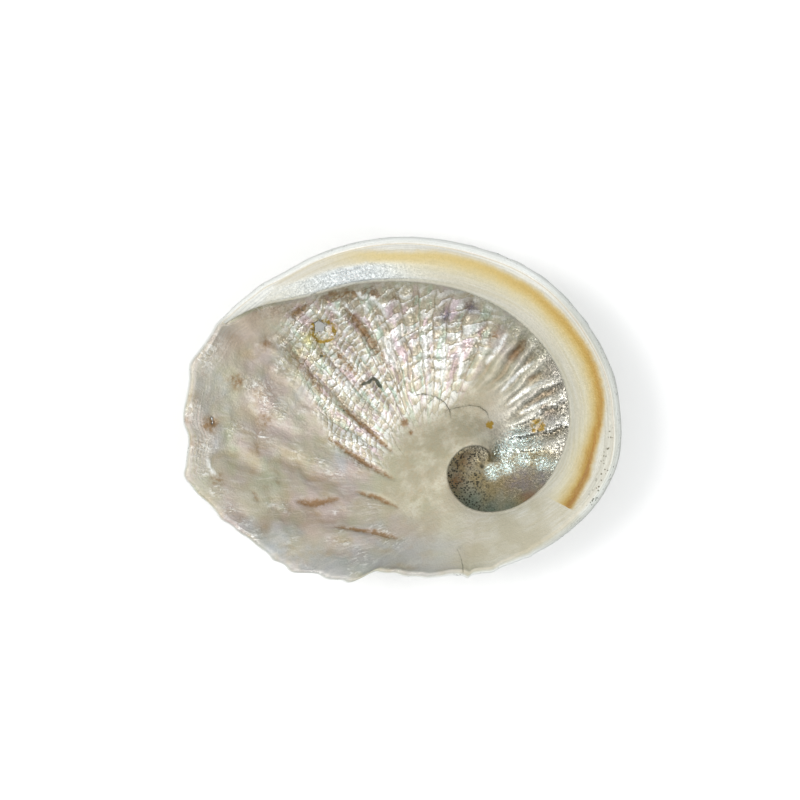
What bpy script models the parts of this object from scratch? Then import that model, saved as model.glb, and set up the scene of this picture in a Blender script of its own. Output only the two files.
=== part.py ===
"""Abalone shell, lying on its back with the mouth up.

One piece that grew as one: an ear-shaped bowl whose left and lower rim is the thin outer lip.
Along the top and right the wall folds inwards as a broad shelf. The shelf's inner edge is a
spiral that winds down into the spire, and the shell has hollows under it.

+X runs along the length, towards the spire. +Y points to the side with the shelf. +Z is up, out of
the mouth. The origin is the middle of the bounding box on the surface that the shell rests on.

Each half plane through the spire's axis cuts the shell in one closed line: along the inside, over
the rim and back along the outside. The shell is the loft through those lines, turn after turn.
"""

import math

import bmesh
import bpy
import numpy as np

MM = 0.001

# Driving dimensions, in millimetres. Angles are in degrees round the spire's axis, from +X.
LENGTH = 120.0
UNIT = LENGTH / 120.0  # every size below is for a shell 120 mm long
APEX = (22.0 * UNIT, -15.2 * UNIT)
RIM_HEIGHT = 30.0 * UNIT
FLOOR_THICKNESS = 2.6 * UNIT
OUTER_LIP_THICKNESS = 2.0 * UNIT
SHELF_WALL_THICKNESS = 3.6 * UNIT
DOME_CENTRE = (9.5 * UNIT, 2.0 * UNIT)  # under the shell's centre of mass
DOME_HALF_SIZES = (60.0 * UNIT, 46.5 * UNIT)
OUTER_LIP_SIDE, SHELF_SIDE = 205.0, 35.0  # the bowl rises gently to the one, steeply to the other
# How much of the back's crown is worn away, to the flat that it rests on, and how far round it
# the folds are worn smooth.
WORN_DEPTH, WORN_RADIUS = 0.35 * UNIT, 8.0 * UNIT

# The outline seen from above: (angle, distance from the spire's axis).
OUTLINE = [
    (0, 37.2), (10, 38.8), (20, 40.4), (30, 42.7), (40, 45.0), (50, 47.4), (60, 50.3), (70, 53.5),
    (80, 56.4), (90, 59.2), (100, 62.6), (110, 66.5), (120, 70.3), (130, 74.0), (140, 77.7),
    (150, 81.5), (160, 83.4), (170, 82.8), (180, 81.0), (190, 74.2), (200, 65.6), (210, 58.2),
    (220, 48.0), (230, 40.0), (240, 35.4), (250, 32.2), (260, 30.8), (270, 29.8), (280, 28.8),
    (290, 28.4), (300, 28.5), (310, 29.2), (320, 30.1), (330, 31.5), (340, 33.3), (350, 35.2),
]
# Chips and waves of the outer lip: (angle, how far it stands out, half width in degrees).
LIP_WAVES = [
    (160.5, 1.0, 3.0), (170.5, 0.4, 3.0), (176.0, -1.2, 3.0), (184.0, 0.9, 3.4),
    (217.0, 1.4, 3.6), (226.0, -1.6, 3.4), (262.5, 0.8, 3.0), (248.0, 0.5, 4.0),
]

# The inner edge of the shelf, which winds out of the spire and ends on the rim:
# (angle along the spiral, distance from the axis, height, how far the hollow reaches under it).
INNER_EDGE = [
    (0, 2.4, 4.9, 0.0), (60, 4.3, 8.4, 0.8), (110, 5.6, 11.0, 1.6), (155, 7.2, 12.0, 2.6),
    (200, 9.9, 13.6, 3.8), (250, 12.6, 16.6, 4.8), (295, 14.3, 19.6, 6.0), (336, 17.4, 21.8, 7.8),
    (366, 21.7, 23.2, 9.6), (386, 26.5, 24.0, 10.2), (409, 32.6, 24.9, 9.8), (428, 37.9, 25.6, 8.8),
    (451, 45.7, 26.4, 7.4), (470, 53.0, 27.1, 5.8), (485, 60.1, 27.7, 4.2), (498, 67.6, 28.4, 2.4),
    (506, 75.9, 29.0, 0.8), (512, 80.6, 29.6, 0.0),
]
EDGE_THICKNESS, EDGE_THICK_FROM = 1.3 * UNIT, 90.0  # full from this angle along the spiral
SPIRAL_START, SPIRAL_END = INNER_EDGE[0][0], INNER_EDGE[-1][0]
RIM_JOIN = SPIRAL_END - 360  # the direction where the shelf runs out on the rim
SHELF_START, SHELF_FULL = 205.0, 300.0  # where the floor beside the spire turns into the shelf
MOUND_WIDTHS = (4.0 * UNIT, 13.0 * UNIT)  # of the floor's rise to the edge, before that
MOUND_START, MOUND_FULL = 20.0, 220.0
HOLLOW_ROUNDNESS = 1.25  # pull of the curve under the edge, in reaches of the hollow

# The rounded shoulder outside the shelf, and the sharper rim of the outer lip:
# (angle, how far the rim's top lies inside the outline, how far the widest point lies below it).
SHOULDER = [
    (0, 3.0, 8.0), (60, 3.0, 8.5), (110, 2.6, 7.5), (140, 2.0, 5.0), (160, 1.0, 1.8),
    (200, 0.9, 1.4), (250, 1.1, 1.8), (285, 2.0, 4.0), (320, 2.8, 7.0), (350, 3.0, 8.0),
]
RIM_WAVE = [
    (0, 0.2), (60, 0.5), (120, 0.3), (165, -0.6), (200, -1.0), (240, -0.2), (290, -1.6), (330, -1.2),
]

# The folds run from the spire to the rim, each along a line that passes the axis at this distance.
FOLD_OFFSET = 10.5 * UNIT
# (direction of the line, number of folds up to it)
FOLD_COUNT = [(-40, -3.0), (0, 0.0), (60, 4.8), (115, 10.4), (145, 13.0), (200, 17.0), (260, 20.0)]
FOLD_DEPTH_INSIDE = 0.5 * UNIT
FOLD_DEPTH_OUTSIDE = 0.6 * UNIT
FOLD_FULL_AT = 48.0 * UNIT  # the distance from the axis from where the folds are that deep
FOLD_FADE = (0.5 * UNIT, 7.0 * UNIT)  # and how near the rim they fade

# Breathing holes, along a spiral inside the shelf: (angle, distance from the axis, radius).
# The two with a radius are open. The others are closed, and show as knobs on the back.
BREATHING_HOLES = [
    (499.5, 59.2, 1.9), (531.0, 75.2, 1.3), (511.0, 67.0, 0.0), (521.5, 71.5, 0.0),
    (488.0, 52.5, 0.0), (476.0, 47.0, 0.0), (463.0, 42.5, 0.0), (449.0, 38.5, 0.0),
    (434.0, 34.5, 0.0), (418.0, 31.0, 0.0), (401.0, 27.5, 0.0),
]
KNOB_HEIGHT, KNOB_RADIUS = 1.0 * UNIT, 2.9 * UNIT

# The outside of the earlier turns: (angle along the spiral, distance from the axis).
SUTURE = [
    (-360, 1.2), (-240, 2.3), (-120, 4.3), (0, 7.8), (100, 12.2), (196, 18.4), (250, 23.5),
    (292, 29.5),
]
SUTURE_DEPTH, SUTURE_HALF_WIDTH = 1.3 * UNIT, 2.0 * UNIT

# Steps of the loft: its lines, and the points along each line.
LINE_COUNT = 120
POINT_STEP, POINT_TURN = 6.6 * UNIT, 52.0  # a new point after so much way or so much turning
FINE_SAMPLES, SMALL_WAY = 240, 0.2 * UNIT


def through(knots, at, column=1, period=None):
    """The smooth curve through (position, value, ...) knots, read at the positions given."""
    x = np.array([k[0] for k in knots], float)
    y = np.array([k[column] for k in knots], float)
    at = np.asarray(at, float)
    if period:
        at = (at - x[0]) % period + x[0]
        x = np.concatenate([x[-2:] - period, x, x[:2] + period])
        y = np.concatenate([y[-2:], y, y[:2]])
    slope = np.gradient(y, x)
    i = np.clip(np.searchsorted(x, at, side="right") - 1, 0, len(x) - 2)
    gap = x[i + 1] - x[i]
    t = np.clip((at - x[i]) / gap, 0.0, 1.0)
    return (
        (1 + 2 * t) * (1 - t) ** 2 * y[i] + t * (1 - t) ** 2 * gap * slope[i]
        + t * t * (3 - 2 * t) * y[i + 1] + t * t * (t - 1) * gap * slope[i + 1]
    )


def smooth_step(low, high, value):
    t = np.clip((np.asarray(value, float) - low) / (high - low), 0.0, 1.0)
    return t * t * (3 - 2 * t)


def hump(offset, half_width):
    """1 at no offset, falling smoothly to 0 over about two half widths."""
    return np.exp(-((np.asarray(offset, float) / half_width) ** 2))


def turned(angle):
    """An angle brought to between -180 and 180."""
    return (np.asarray(angle, float) + 180.0) % 360.0 - 180.0


def outline(angle):
    radius = through(OUTLINE, angle, period=360)
    for centre, out, half_width in LIP_WAVES:
        radius = radius + out * hump(turned(angle - centre), half_width)
    return radius * UNIT


def rim_height(angle):
    return RIM_HEIGHT + through(RIM_WAVE, angle, period=360) * UNIT


def place(angle, r):
    """The point at that distance from the axis, seen from above."""
    a = math.radians(angle)
    return APEX[0] + r * math.cos(a), APEX[1] + r * math.sin(a)


def dome(angle, r, edge):
    """How high the bowl stands at r, from 0 at its bottom to 1 where r is edge."""
    x, y = place(angle, np.asarray(r, float))
    edge_x, edge_y = place(angle, edge)
    half_x, half_y = DOME_HALF_SIZES
    spread = np.hypot((x - DOME_CENTRE[0]) / half_x, (y - DOME_CENTRE[1]) / half_y)
    edge_spread = math.hypot((edge_x - DOME_CENTRE[0]) / half_x, (edge_y - DOME_CENTRE[1]) / half_y)
    spread = spread * (1 + (1 / edge_spread - 1) * (np.asarray(r) / edge) ** 3)
    spread = np.clip(spread, 0.0, 1.0)
    steep = 1 - (1 - spread**2.3) ** 0.53
    gentle = 0.72 * spread**2 + 0.28 * spread**5
    facing = np.degrees(np.arctan2(y - DOME_CENTRE[1], x - DOME_CENTRE[0]))
    gentle_share = smooth_step(95, 25, np.abs(turned(facing - OUTER_LIP_SIDE)))
    return steep + (gentle - steep) * gentle_share


def fold_height(x, y):
    """The folds that radiate from the spire, from -1 to 1, fading out towards the spire."""
    across, up = x - APEX[0], y - APEX[1]
    r = np.hypot(across, up)
    lean = np.degrees(np.arcsin(np.clip(FOLD_OFFSET / np.maximum(r, FOLD_OFFSET), 0, 1)))
    line = (np.degrees(np.arctan2(up, across)) - lean + 60.0) % 360.0 - 60.0
    count = through(FOLD_COUNT, line)
    wave = np.cos(2 * math.pi * count)
    in_fan = smooth_step(-40, -5, line) * smooth_step(255, 200, line)
    depth = smooth_step(FOLD_OFFSET, FOLD_FULL_AT, r)
    crown = np.hypot(x - DOME_CENTRE[0], y - DOME_CENTRE[1])
    return wave * in_fan * depth * smooth_step(WORN_RADIUS, 2.5 * WORN_RADIUS, crown)


def outside_relief(angle, r, edge):
    """How far folds, knobs and the suture move the back, downwards if positive."""
    x, y = place(angle, r)
    fade = smooth_step(*FOLD_FADE, edge - r)
    depth = FOLD_DEPTH_OUTSIDE * fold_height(x, y) * fade
    for hole_angle, hole_r, _ in BREATHING_HOLES:
        hole_x, hole_y = place(hole_angle, hole_r * UNIT)
        depth = depth + KNOB_HEIGHT * hump(np.hypot(x - hole_x, y - hole_y), KNOB_RADIUS) * fade
    for turn in range(-1, 1):
        along = angle + 360 * turn
        if SUTURE[0][0] <= along <= SUTURE[-1][0]:
            gap = r - through(SUTURE, along) * UNIT
            share = smooth_step(-360, -120, along) * (0.45 + 0.55 * smooth_step(-120, 150, along))
            width = SUTURE_HALF_WIDTH * (0.3 + 0.7 * share)
            depth = depth - SUTURE_DEPTH * share * hump(gap, width)
    return depth


def wall_at_rim(angle):
    """How far the bowl's inside lies within the outline, level with the rim."""
    shelf_share = smooth_step(118, 78, abs(turned(angle - SHELF_SIDE)))
    return OUTER_LIP_THICKNESS + (SHELF_WALL_THICKNESS - OUTER_LIP_THICKNESS) * shelf_share


def floor_height(angle, r):
    """The inside of the bowl."""
    edge = outline(angle) - wall_at_rim(angle)
    rise = rim_height(angle) - FLOOR_THICKNESS
    x, y = place(angle, r)
    return (
        FLOOR_THICKNESS + rise * dome(angle, np.minimum(r, edge), edge)
        + FOLD_DEPTH_INSIDE * fold_height(x, y) * smooth_step(*FOLD_FADE, edge - r)
    )


def back_height(angle, r):
    """The outside of the bowl, up to its widest point."""
    edge = outline(angle)
    widest = rim_height(angle) - through(SHOULDER, angle, 2, period=360) * UNIT
    return widest * dome(angle, r, edge) - outside_relief(angle, r, edge)


def inner_edge(along):
    """(distance from the axis, height, reach of the hollow) of the spiral edge."""
    return tuple(float(through(INNER_EDGE, along, column)) * UNIT for column in (1, 2, 3))


def hollow(angle, along):
    """The line from the floor round under the spiral edge, as (distance, height) points."""
    edge_r, edge_z, reach = inner_edge(along)
    start = max(edge_r - 0.5 * reach - 0.8 * UNIT, 0.6 * edge_r)
    before, after = floor_height(angle, start - SMALL_WAY), floor_height(angle, start + SMALL_WAY)
    slope = float(after - before) / (2 * SMALL_WAY)
    thickness = EDGE_THICKNESS * float(smooth_step(SPIRAL_START, EDGE_THICK_FROM, along))
    first = np.array([start, float(floor_height(angle, start))])
    last = np.array([edge_r + 0.5 * thickness, edge_z - thickness])
    pull = HOLLOW_ROUNDNESS * reach
    first_pull = (edge_r - start + pull) * np.array([1.0, slope]) / math.hypot(1.0, slope)
    last_pull = pull * np.array([1.0, -0.2])
    t = np.linspace(0.0, 1.0, FINE_SAMPLES)[:, None]
    u = 1 - t
    ends = u**3 * first + t**3 * last
    return ends + 3 * t * u * (u * (first + first_pull) + t * (last + last_pull)), thickness


def edge_round(along, thickness):
    """The blunt edge itself, from its underside to its top."""
    edge_r, edge_z, _ = inner_edge(along)
    turn = np.radians(np.linspace(-90, 90, FINE_SAMPLES))[:, None]
    centre = np.array([edge_r + 0.5 * thickness, edge_z - 0.5 * thickness])
    return centre + 0.5 * thickness * np.hstack([-np.cos(turn), np.sin(turn)])


def upper_sheet(angle, along, thickness, stop_r, stop_z):
    """The surface that goes outwards from the top of the spiral edge: floor, shelf or between."""
    edge_r, edge_z, _ = inner_edge(along)
    start = edge_r + 0.5 * thickness
    r = np.linspace(start, stop_r, FINE_SAMPLES)
    share = (r - start) / max(stop_r - start, 1e-6)
    shelf = edge_z + (stop_z - edge_z) * share**0.8
    shelf_share = float(smooth_step(SHELF_START, SHELF_FULL, along))
    if shelf_share >= 1:
        return np.stack([r, shelf], 1)
    floor = floor_height(angle, r)
    narrow, wide = MOUND_WIDTHS
    width = narrow + (wide - narrow) * float(smooth_step(MOUND_START, MOUND_FULL, along))
    mound = (edge_z - floor[0]) * np.exp(-(((r - start) / width) ** 1.7))
    end_gap = (stop_z - floor[-1] - mound[-1]) * share**6
    floor = floor + mound + end_gap
    return np.stack([r, floor + (shelf - floor) * shelf_share], 1)


def shoulder(angle):
    """The rim, from its top over the rounded shoulder to the widest point."""
    inset = float(through(SHOULDER, angle, 1, period=360)) * UNIT
    drop = float(through(SHOULDER, angle, 2, period=360)) * UNIT
    turn = np.radians(np.linspace(90, 0, FINE_SAMPLES))
    r = outline(angle) - inset + inset * np.cos(turn)
    z = rim_height(angle) - drop + drop * np.sin(turn)
    return np.stack([r, z], 1)


def back(angle):
    """The outside, from the widest point to the axis."""
    edge = float(outline(angle))
    r = edge * (1 - np.linspace(0.0, 1.0, 2 * FINE_SAMPLES) ** 2)
    return np.stack([r, back_height(angle, r)], 1)


def spans_at(angle):
    """The shell's line at this angle, as named stretches of (distance, height) points."""
    rim = shoulder(angle)
    spans = {}
    if angle == SPIRAL_START:
        shelf_start = hollow(angle, angle + 360)[0][0, 0]
        start = inner_edge(SPIRAL_START)[0]
        for name, low, high in (("pit", 0.0, start), ("floor", start, shelf_start)):
            r = np.linspace(low, high, FINE_SAMPLES)
            spans[name] = np.stack([r, floor_height(angle, r)], 1)
            spans.setdefault("inner hollow", spans[name][-1:])
            spans.setdefault("inner edge", spans[name][-1:])
    else:
        line, thickness = hollow(angle, angle)
        r = np.linspace(0.0, line[0, 0], FINE_SAMPLES)
        spans["pit"] = np.stack([r, floor_height(angle, r)], 1)
        spans["inner hollow"] = line
        spans["inner edge"] = edge_round(angle, thickness)
    if angle < RIM_JOIN:
        shelf_line, shelf_thickness = hollow(angle, angle + 360)
        if angle > SPIRAL_START:
            spans["floor"] = upper_sheet(angle, angle, thickness, *shelf_line[0])
        spans["shelf hollow"] = shelf_line
        spans["shelf edge"] = edge_round(angle + 360, shelf_thickness)
        spans["shelf"] = upper_sheet(angle, angle + 360, shelf_thickness, *rim[0])
    else:
        spans["floor"] = upper_sheet(angle, angle, thickness, *rim[0])
    spans["rim"] = rim
    spans["back"] = back(angle)
    return spans


def resampled(line):
    """The line with fewer points: closer together where it turns."""
    if len(line) == 1:
        return line
    way = np.diff(line, axis=0)
    length = np.hypot(*way.T)
    heading = np.unwrap(np.arctan2(way[:, 1], way[:, 0]))
    turning = np.degrees(np.abs(np.gradient(heading)))
    effort = np.concatenate([[0.0], np.cumsum(length / POINT_STEP + turning / POINT_TURN)])
    count = max(1, round(effort[-1]))
    at = np.linspace(0.0, effort[-1], count + 1)
    return np.stack([np.interp(at, effort, line[:, 0]), np.interp(at, effort, line[:, 1])], 1)


def line_angles():
    """Evenly spread directions, with the one where the shelf ends among them."""
    angles = np.linspace(0.0, 360.0, LINE_COUNT + 1)[:-1]
    angles[np.argmin(np.abs(angles - RIM_JOIN))] = RIM_JOIN
    return angles


def add_column(bm, angle, axis_inside, axis_outside):
    """Adds one line's vertices and returns them by span. Neighbouring spans share an end."""
    column = {}
    last = axis_inside
    for name, line in spans_at(angle).items():
        points = resampled(line)[1:]
        verts = [last]
        for i, (r, z) in enumerate(points):
            if name == "back" and i == len(points) - 1:
                verts.append(axis_outside)
                continue
            x, y = place(angle, r)
            verts.append(bm.verts.new((x * MM, y * MM, z * MM)))
        column[name] = verts
        last = verts[-1]
    return column


def before_start(column):
    """The first column as the last one meets it: what it calls the shelf is the last one's floor."""
    return {
        "pit": column["pit"] + column["floor"][1:], "inner hollow": column["shelf hollow"],
        "inner edge": column["shelf edge"], "floor": column["shelf"],
        "rim": column["rim"], "back": column["back"],
    }


def run_out(column):
    """The column where the shelf ends, with the shelf's spans shrunk to a point on the rim."""
    end = column["floor"][-1]
    ended = {name: [end] for name in ("shelf hollow", "shelf edge", "shelf")}
    return {**column, **ended}


def shares(row):
    """How far along the row each vertex lies, from 0 to 1, and 2 for the one after the last."""
    ways = [(b.co - a.co).length for a, b in zip(row, row[1:])]
    total = sum(ways) or 1.0
    return [sum(ways[:i]) / total for i in range(len(row))] + [2.0]


def stitch(bm, left, right):
    """Fills the strip between two rows of vertices that may differ in number."""
    share_left, share_right = shares(left), shares(right)
    near = 0.4 / max(len(left), len(right))
    i = j = 0
    while i < len(left) - 1 or j < len(right) - 1:
        next_left, next_right = share_left[i + 1], share_right[j + 1]
        both = abs(next_left - next_right) < near
        corners = [left[i], right[j]]
        if both or next_right <= next_left:
            j += 1
            corners.append(right[j])
        if both or next_left < next_right:
            i += 1
            corners.append(left[i])
        corners = list(dict.fromkeys(corners))
        if len(corners) > 2:
            bm.faces.new(corners)


def loft():
    """The whole shell as one closed mesh."""
    bm = bmesh.new()
    axis_inside = bm.verts.new((APEX[0] * MM, APEX[1] * MM, float(floor_height(0.0, 0.0)) * MM))
    axis_outside = bm.verts.new((APEX[0] * MM, APEX[1] * MM, float(back_height(0.0, 0.0)) * MM))
    angles = line_angles()
    columns = [add_column(bm, angle, axis_inside, axis_outside) for angle in angles]
    for left, right, angle in zip(columns, columns[1:] + columns[:1], np.append(angles[1:], 360.0)):
        if angle == RIM_JOIN:
            right = run_out(right)
        if angle == 360.0:
            right = before_start(right)
        for name in left:
            stitch(bm, left[name], right[name])
    for vert in bm.verts:
        vert.co.z = max(vert.co.z, WORN_DEPTH * MM) - WORN_DEPTH * MM
    bmesh.ops.recalc_face_normals(bm, faces=bm.faces)
    return bm


def nacre():
    material = bpy.data.materials.new("nacre")
    material.use_nodes = True
    shader = material.node_tree.nodes["Principled BSDF"]
    shader.inputs["Base Color"].default_value = (0.66, 0.62, 0.54, 1.0)
    shader.inputs["Roughness"].default_value = 0.32
    shader.inputs["Metallic"].default_value = 0.0
    return material


def hole_cutter(number, angle, r, radius):
    x, y = place(angle, r)
    bpy.ops.mesh.primitive_cone_add(
        vertices=16, radius1=1.25 * radius * MM, radius2=radius * MM, depth=RIM_HEIGHT * MM,
        location=(x * MM, y * MM, 0.45 * RIM_HEIGHT * MM),
    )
    cutter = bpy.context.object
    cutter.name = f"breathing_hole_cutter_{number}"
    cutter.hide_render = True
    cutter.display_type = "WIRE"
    return cutter


def main():
    for old in list(bpy.data.objects):
        bpy.data.objects.remove(old, do_unlink=True)
    parts = bpy.data.collections.new("abalone_shell")
    cutters = bpy.data.collections.new("cutters")
    bpy.context.scene.collection.children.link(parts)
    bpy.context.scene.collection.children.link(cutters)

    mesh = bpy.data.meshes.new("shell")
    bm = loft()
    bm.to_mesh(mesh)
    bm.free()
    shell = bpy.data.objects.new("shell", mesh)
    parts.objects.link(shell)
    mesh.materials.append(nacre())
    mesh.shade_smooth()
    mesh.set_sharp_from_angle(angle=math.radians(50))

    for number, (angle, r, radius) in enumerate(BREATHING_HOLES):
        if radius:
            cutter = hole_cutter(number, angle, r * UNIT, radius * UNIT)
            for collection in cutter.users_collection:
                collection.objects.unlink(cutter)
            cutters.objects.link(cutter)
            cut = shell.modifiers.new(f"breathing hole {number}", "BOOLEAN")
            cut.operation = "DIFFERENCE"
            cut.solver = "EXACT"
            cut.object = cutter


main()
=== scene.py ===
import math

import bmesh
import bpy
import numpy as np
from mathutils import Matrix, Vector


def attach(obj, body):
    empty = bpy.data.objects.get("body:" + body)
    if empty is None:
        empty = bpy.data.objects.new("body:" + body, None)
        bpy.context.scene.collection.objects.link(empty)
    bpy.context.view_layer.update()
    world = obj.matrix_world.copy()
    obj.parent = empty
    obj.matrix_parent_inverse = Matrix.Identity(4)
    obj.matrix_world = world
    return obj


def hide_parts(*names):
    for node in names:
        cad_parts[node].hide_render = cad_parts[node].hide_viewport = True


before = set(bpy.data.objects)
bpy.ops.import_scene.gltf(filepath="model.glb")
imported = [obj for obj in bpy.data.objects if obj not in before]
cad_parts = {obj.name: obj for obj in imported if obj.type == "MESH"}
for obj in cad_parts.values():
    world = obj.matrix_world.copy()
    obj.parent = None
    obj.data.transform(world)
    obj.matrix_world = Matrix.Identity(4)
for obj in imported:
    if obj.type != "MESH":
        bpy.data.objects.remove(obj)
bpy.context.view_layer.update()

mm = 0.001

# The shell's own shape, in millimetres and in degrees round the spire's axis, from +X.
shellShape = {
    "apex": (22.0, -15.2),
    "rimHeight": 30.0,
    "floorThickness": 2.6,
    "lipThickness": 1.9,
    "shelfWall": 3.6,
    "domeCentre": (9.5, 2.0),
    "domeHalfSizes": (60.0, 46.5),
    "wornDepth": 0.35,
    "lipSide": 205.0,  # the bowl rises gently to this side
    "shelfSide": 35.0,  # and steeply to this one
    "edgeThickness": 1.3,
    "shelfFrom": (205.0, 300.0),  # where the floor beside the spire turns into the shelf
    "clearOfPit": (20.0, 100.0),  # where the floor outside the inner edge rises clear of the pit
    "moundWidths": (4.0, 13.0),  # of the floor's rise to the inner edge, before that
    "moundFrom": (20.0, 220.0),
    "hollowRoundness": 1.25,
    # (angle, distance from the axis)
    "outline": [
        (0, 37.2), (10, 38.8), (20, 40.4), (30, 42.7), (40, 45.0), (50, 47.4), (60, 50.3), (70, 53.5),
        (80, 56.4), (90, 59.2), (100, 62.6), (110, 66.5), (120, 70.3), (130, 74.0), (140, 77.7),
        (150, 81.5), (160, 83.4), (170, 82.8), (180, 81.0), (190, 74.2), (200, 65.6), (210, 58.2),
        (220, 48.0), (230, 40.0), (240, 35.4), (250, 32.2), (260, 30.8), (270, 29.8), (280, 28.8),
        (290, 28.4), (300, 28.5), (310, 29.2), (320, 30.1), (330, 31.5), (340, 33.3), (350, 35.2),
    ],
    # chips and waves of the outer lip: (angle, how far out, half width in degrees)
    "lipWaves": [
        (160.5, 1.0, 2.6), (170.5, 0.4, 2.4), (176.0, -1.3, 2.6), (184.0, 1.0, 3.0), (193.0, -0.5, 1.6),
        (196.5, 0.4, 1.4), (204.5, -0.4, 2.2), (217.0, 1.4, 3.4), (225.6, -1.7, 2.8), (262.5, 0.7, 1.4),
        (248.0, 0.5, 4.0), (141.0, 0.3, 2.0), (152.0, 0.4, 1.5), (161.5, 0.4, 1.6), (174.0, -0.5, 1.4),
        (182.2, 1.3, 1.6), (185.8, 0.5, 1.4), (192.0, 0.9, 1.2), (197.0, -0.7, 1.6), (204.5, 1.2, 1.6),
        (209.3, 1.3, 1.8), (213.5, -0.9, 2.0), (221.6, 2.1, 1.8), (224.4, -0.8, 1.2), (230.5, -1.1, 2.8),
        (243.5, 0.5, 2.6), (261.0, 0.3, 2.6), (275.0, 0.5, 3.5), (297.0, 0.3, 2.5), (135.0, -0.3, 4.0),
    ],
    # the spiral inner edge: (angle along it, distance from the axis, height, reach of the hollow under it)
    "innerEdge": [
        (0, 2.4, 4.9, 0.0), (60, 3.9, 8.4, 0.8), (110, 5.0, 11.0, 1.6), (155, 6.9, 12.0, 2.6),
        (200, 9.9, 13.6, 3.8), (250, 12.6, 16.6, 4.8), (295, 14.3, 19.6, 6.0), (336, 17.4, 21.8, 7.8),
        (366, 21.7, 23.2, 9.6), (386, 26.5, 24.0, 10.2), (409, 32.6, 24.9, 9.8), (428, 37.9, 25.6, 8.8),
        (451, 45.7, 26.4, 7.4), (470, 53.0, 27.1, 5.8), (485, 60.1, 27.7, 4.2), (498, 67.6, 28.4, 2.4),
        (506, 75.9, 29.0, 0.8), (512, 80.6, 29.6, 0.0),
    ],
    # (angle, how far the rim's top lies within the outline, how far the widest point lies below it)
    "shoulder": [
        (0, 3.0, 8.0), (60, 3.0, 8.5), (110, 2.6, 7.5), (140, 2.0, 5.0), (160, 1.0, 1.8),
        (200, 0.9, 1.4), (250, 1.1, 1.8), (285, 2.0, 4.0), (320, 2.8, 7.0), (350, 3.0, 8.0),
    ],
    "rimWave": [
        (0, 0.2), (60, 0.5), (120, 0.3), (165, -0.6), (200, -1.0), (240, -0.2), (290, -1.6), (330, -1.2),
    ],
    # the outside of the earlier turns: (angle along the spiral, distance from the axis)
    "suture": [
        (-360, 1.2), (-240, 2.3), (-120, 4.3), (0, 7.8), (100, 12.2), (196, 18.4), (250, 23.5), (292, 29.5),
    ],
    "sutureDepth": 1.3,
    "sutureHalfWidth": 2.0,
}
# Breathing holes: (angle, distance from the axis, radius). The closed ones have no radius.
# The second is a slit.
breathingHoles = {
    "places": [
        (499.5, 59.2, 1.8), (531.0, 75.2, 0.78), (511.0, 67.0, 0.0), (521.5, 71.5, 0.0),
        (488.0, 52.5, 0.0), (476.0, 47.0, 0.0), (463.0, 42.5, 0.0), (449.0, 38.5, 0.0),
        (434.0, 34.5, 0.0), (418.0, 31.0, 0.0), (401.0, 27.5, 0.0),
    ],
    "knobHeight": 1.0,
    "knobRadius": 2.9,
    "raggedness": 0.26,  # of the open ones' rims, as a share of the radius
    "slitShare": 0.5,  # how much longer than wide the second is
}
# How finely the shell is drawn: lines round the axis, and the points' spacing along them.
shellMesh = {"lines": 640, "insideStep": 0.62, "outsideStep": 1.15, "turnStep": 0.5, "keep": 0.84}
# The folds that fan out from the spire, each along a line that passes the axis at some distance.
folds = {
    # (direction from the axis, that distance)
    "offset": [(-60, 5.0), (60, 5.6), (100, 10.5), (260, 10.5)],
    # (direction of the line, number of folds up to it)
    "count": [
        (-29, -3.7), (-18, -3.0), (-1.5, -2.0), (15, -1.0), (29, 0.0), (65, 4.2), (99, 9.4),
        (115, 12.2), (145, 16.4), (200, 20.6), (260, 24.6),
    ],
    "fadeAtRim": (0.5, 7.0),  # on the back
    # (direction, number of rows of broken plates up to it)
    "plateRows": [
        (-29, -3.7), (29, 0.0), (65, 4.2), (99, 9.6), (112, 12.0), (128, 15.8), (145, 20.0),
        (200, 34.0), (260, 47.0),
    ],
}


def smoothStep(low, high, value):
    t = np.clip((np.asarray(value, float) - low) / (high - low), 0.0, 1.0)
    return t * t * (3 - 2 * t)


def hump(offset, halfWidth):  # 1 at no offset, near 0 beyond two half widths
    return np.exp(-((np.asarray(offset, float) / halfWidth) ** 2))


def turned(angle):  # brought to between -180 and 180
    return (np.asarray(angle, float) + 180.0) % 360.0 - 180.0


# The smooth curve through (position, value, ...) knots, read at the positions given.
def through(knots, at, column=1, period=None):
    x = np.array([k[0] for k in knots], float)
    y = np.array([k[column] for k in knots], float)
    at = np.asarray(at, float)
    if period:
        at = (at - x[0]) % period + x[0]
        x = np.concatenate([x[-2:] - period, x, x[:2] + period])
        y = np.concatenate([y[-2:], y, y[:2]])
    slope = np.gradient(y, x)
    i = np.clip(np.searchsorted(x, at, side="right") - 1, 0, len(x) - 2)
    gap = x[i + 1] - x[i]
    t = np.clip((at - x[i]) / gap, 0.0, 1.0)
    return (
        (1 + 2 * t) * (1 - t) ** 2 * y[i] + t * (1 - t) ** 2 * gap * slope[i]
        + t * t * (3 - 2 * t) * y[i + 1] + t * t * (t - 1) * gap * slope[i + 1]
    )


def wholeOutline(angle):  # as if nothing had chipped it
    return through(shellShape["outline"], angle, period=360)


def outline(angle):
    radius = wholeOutline(angle)
    for centre, out, halfWidth in shellShape["lipWaves"]:
        radius = radius + out * hump(turned(angle - centre), halfWidth)
    return radius


def rimHeight(angle):
    return shellShape["rimHeight"] + through(shellShape["rimWave"], angle, period=360)


def place(angle, r):  # seen from above
    a = np.radians(angle)
    return shellShape["apex"][0] + r * np.cos(a), shellShape["apex"][1] + r * np.sin(a)


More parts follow.
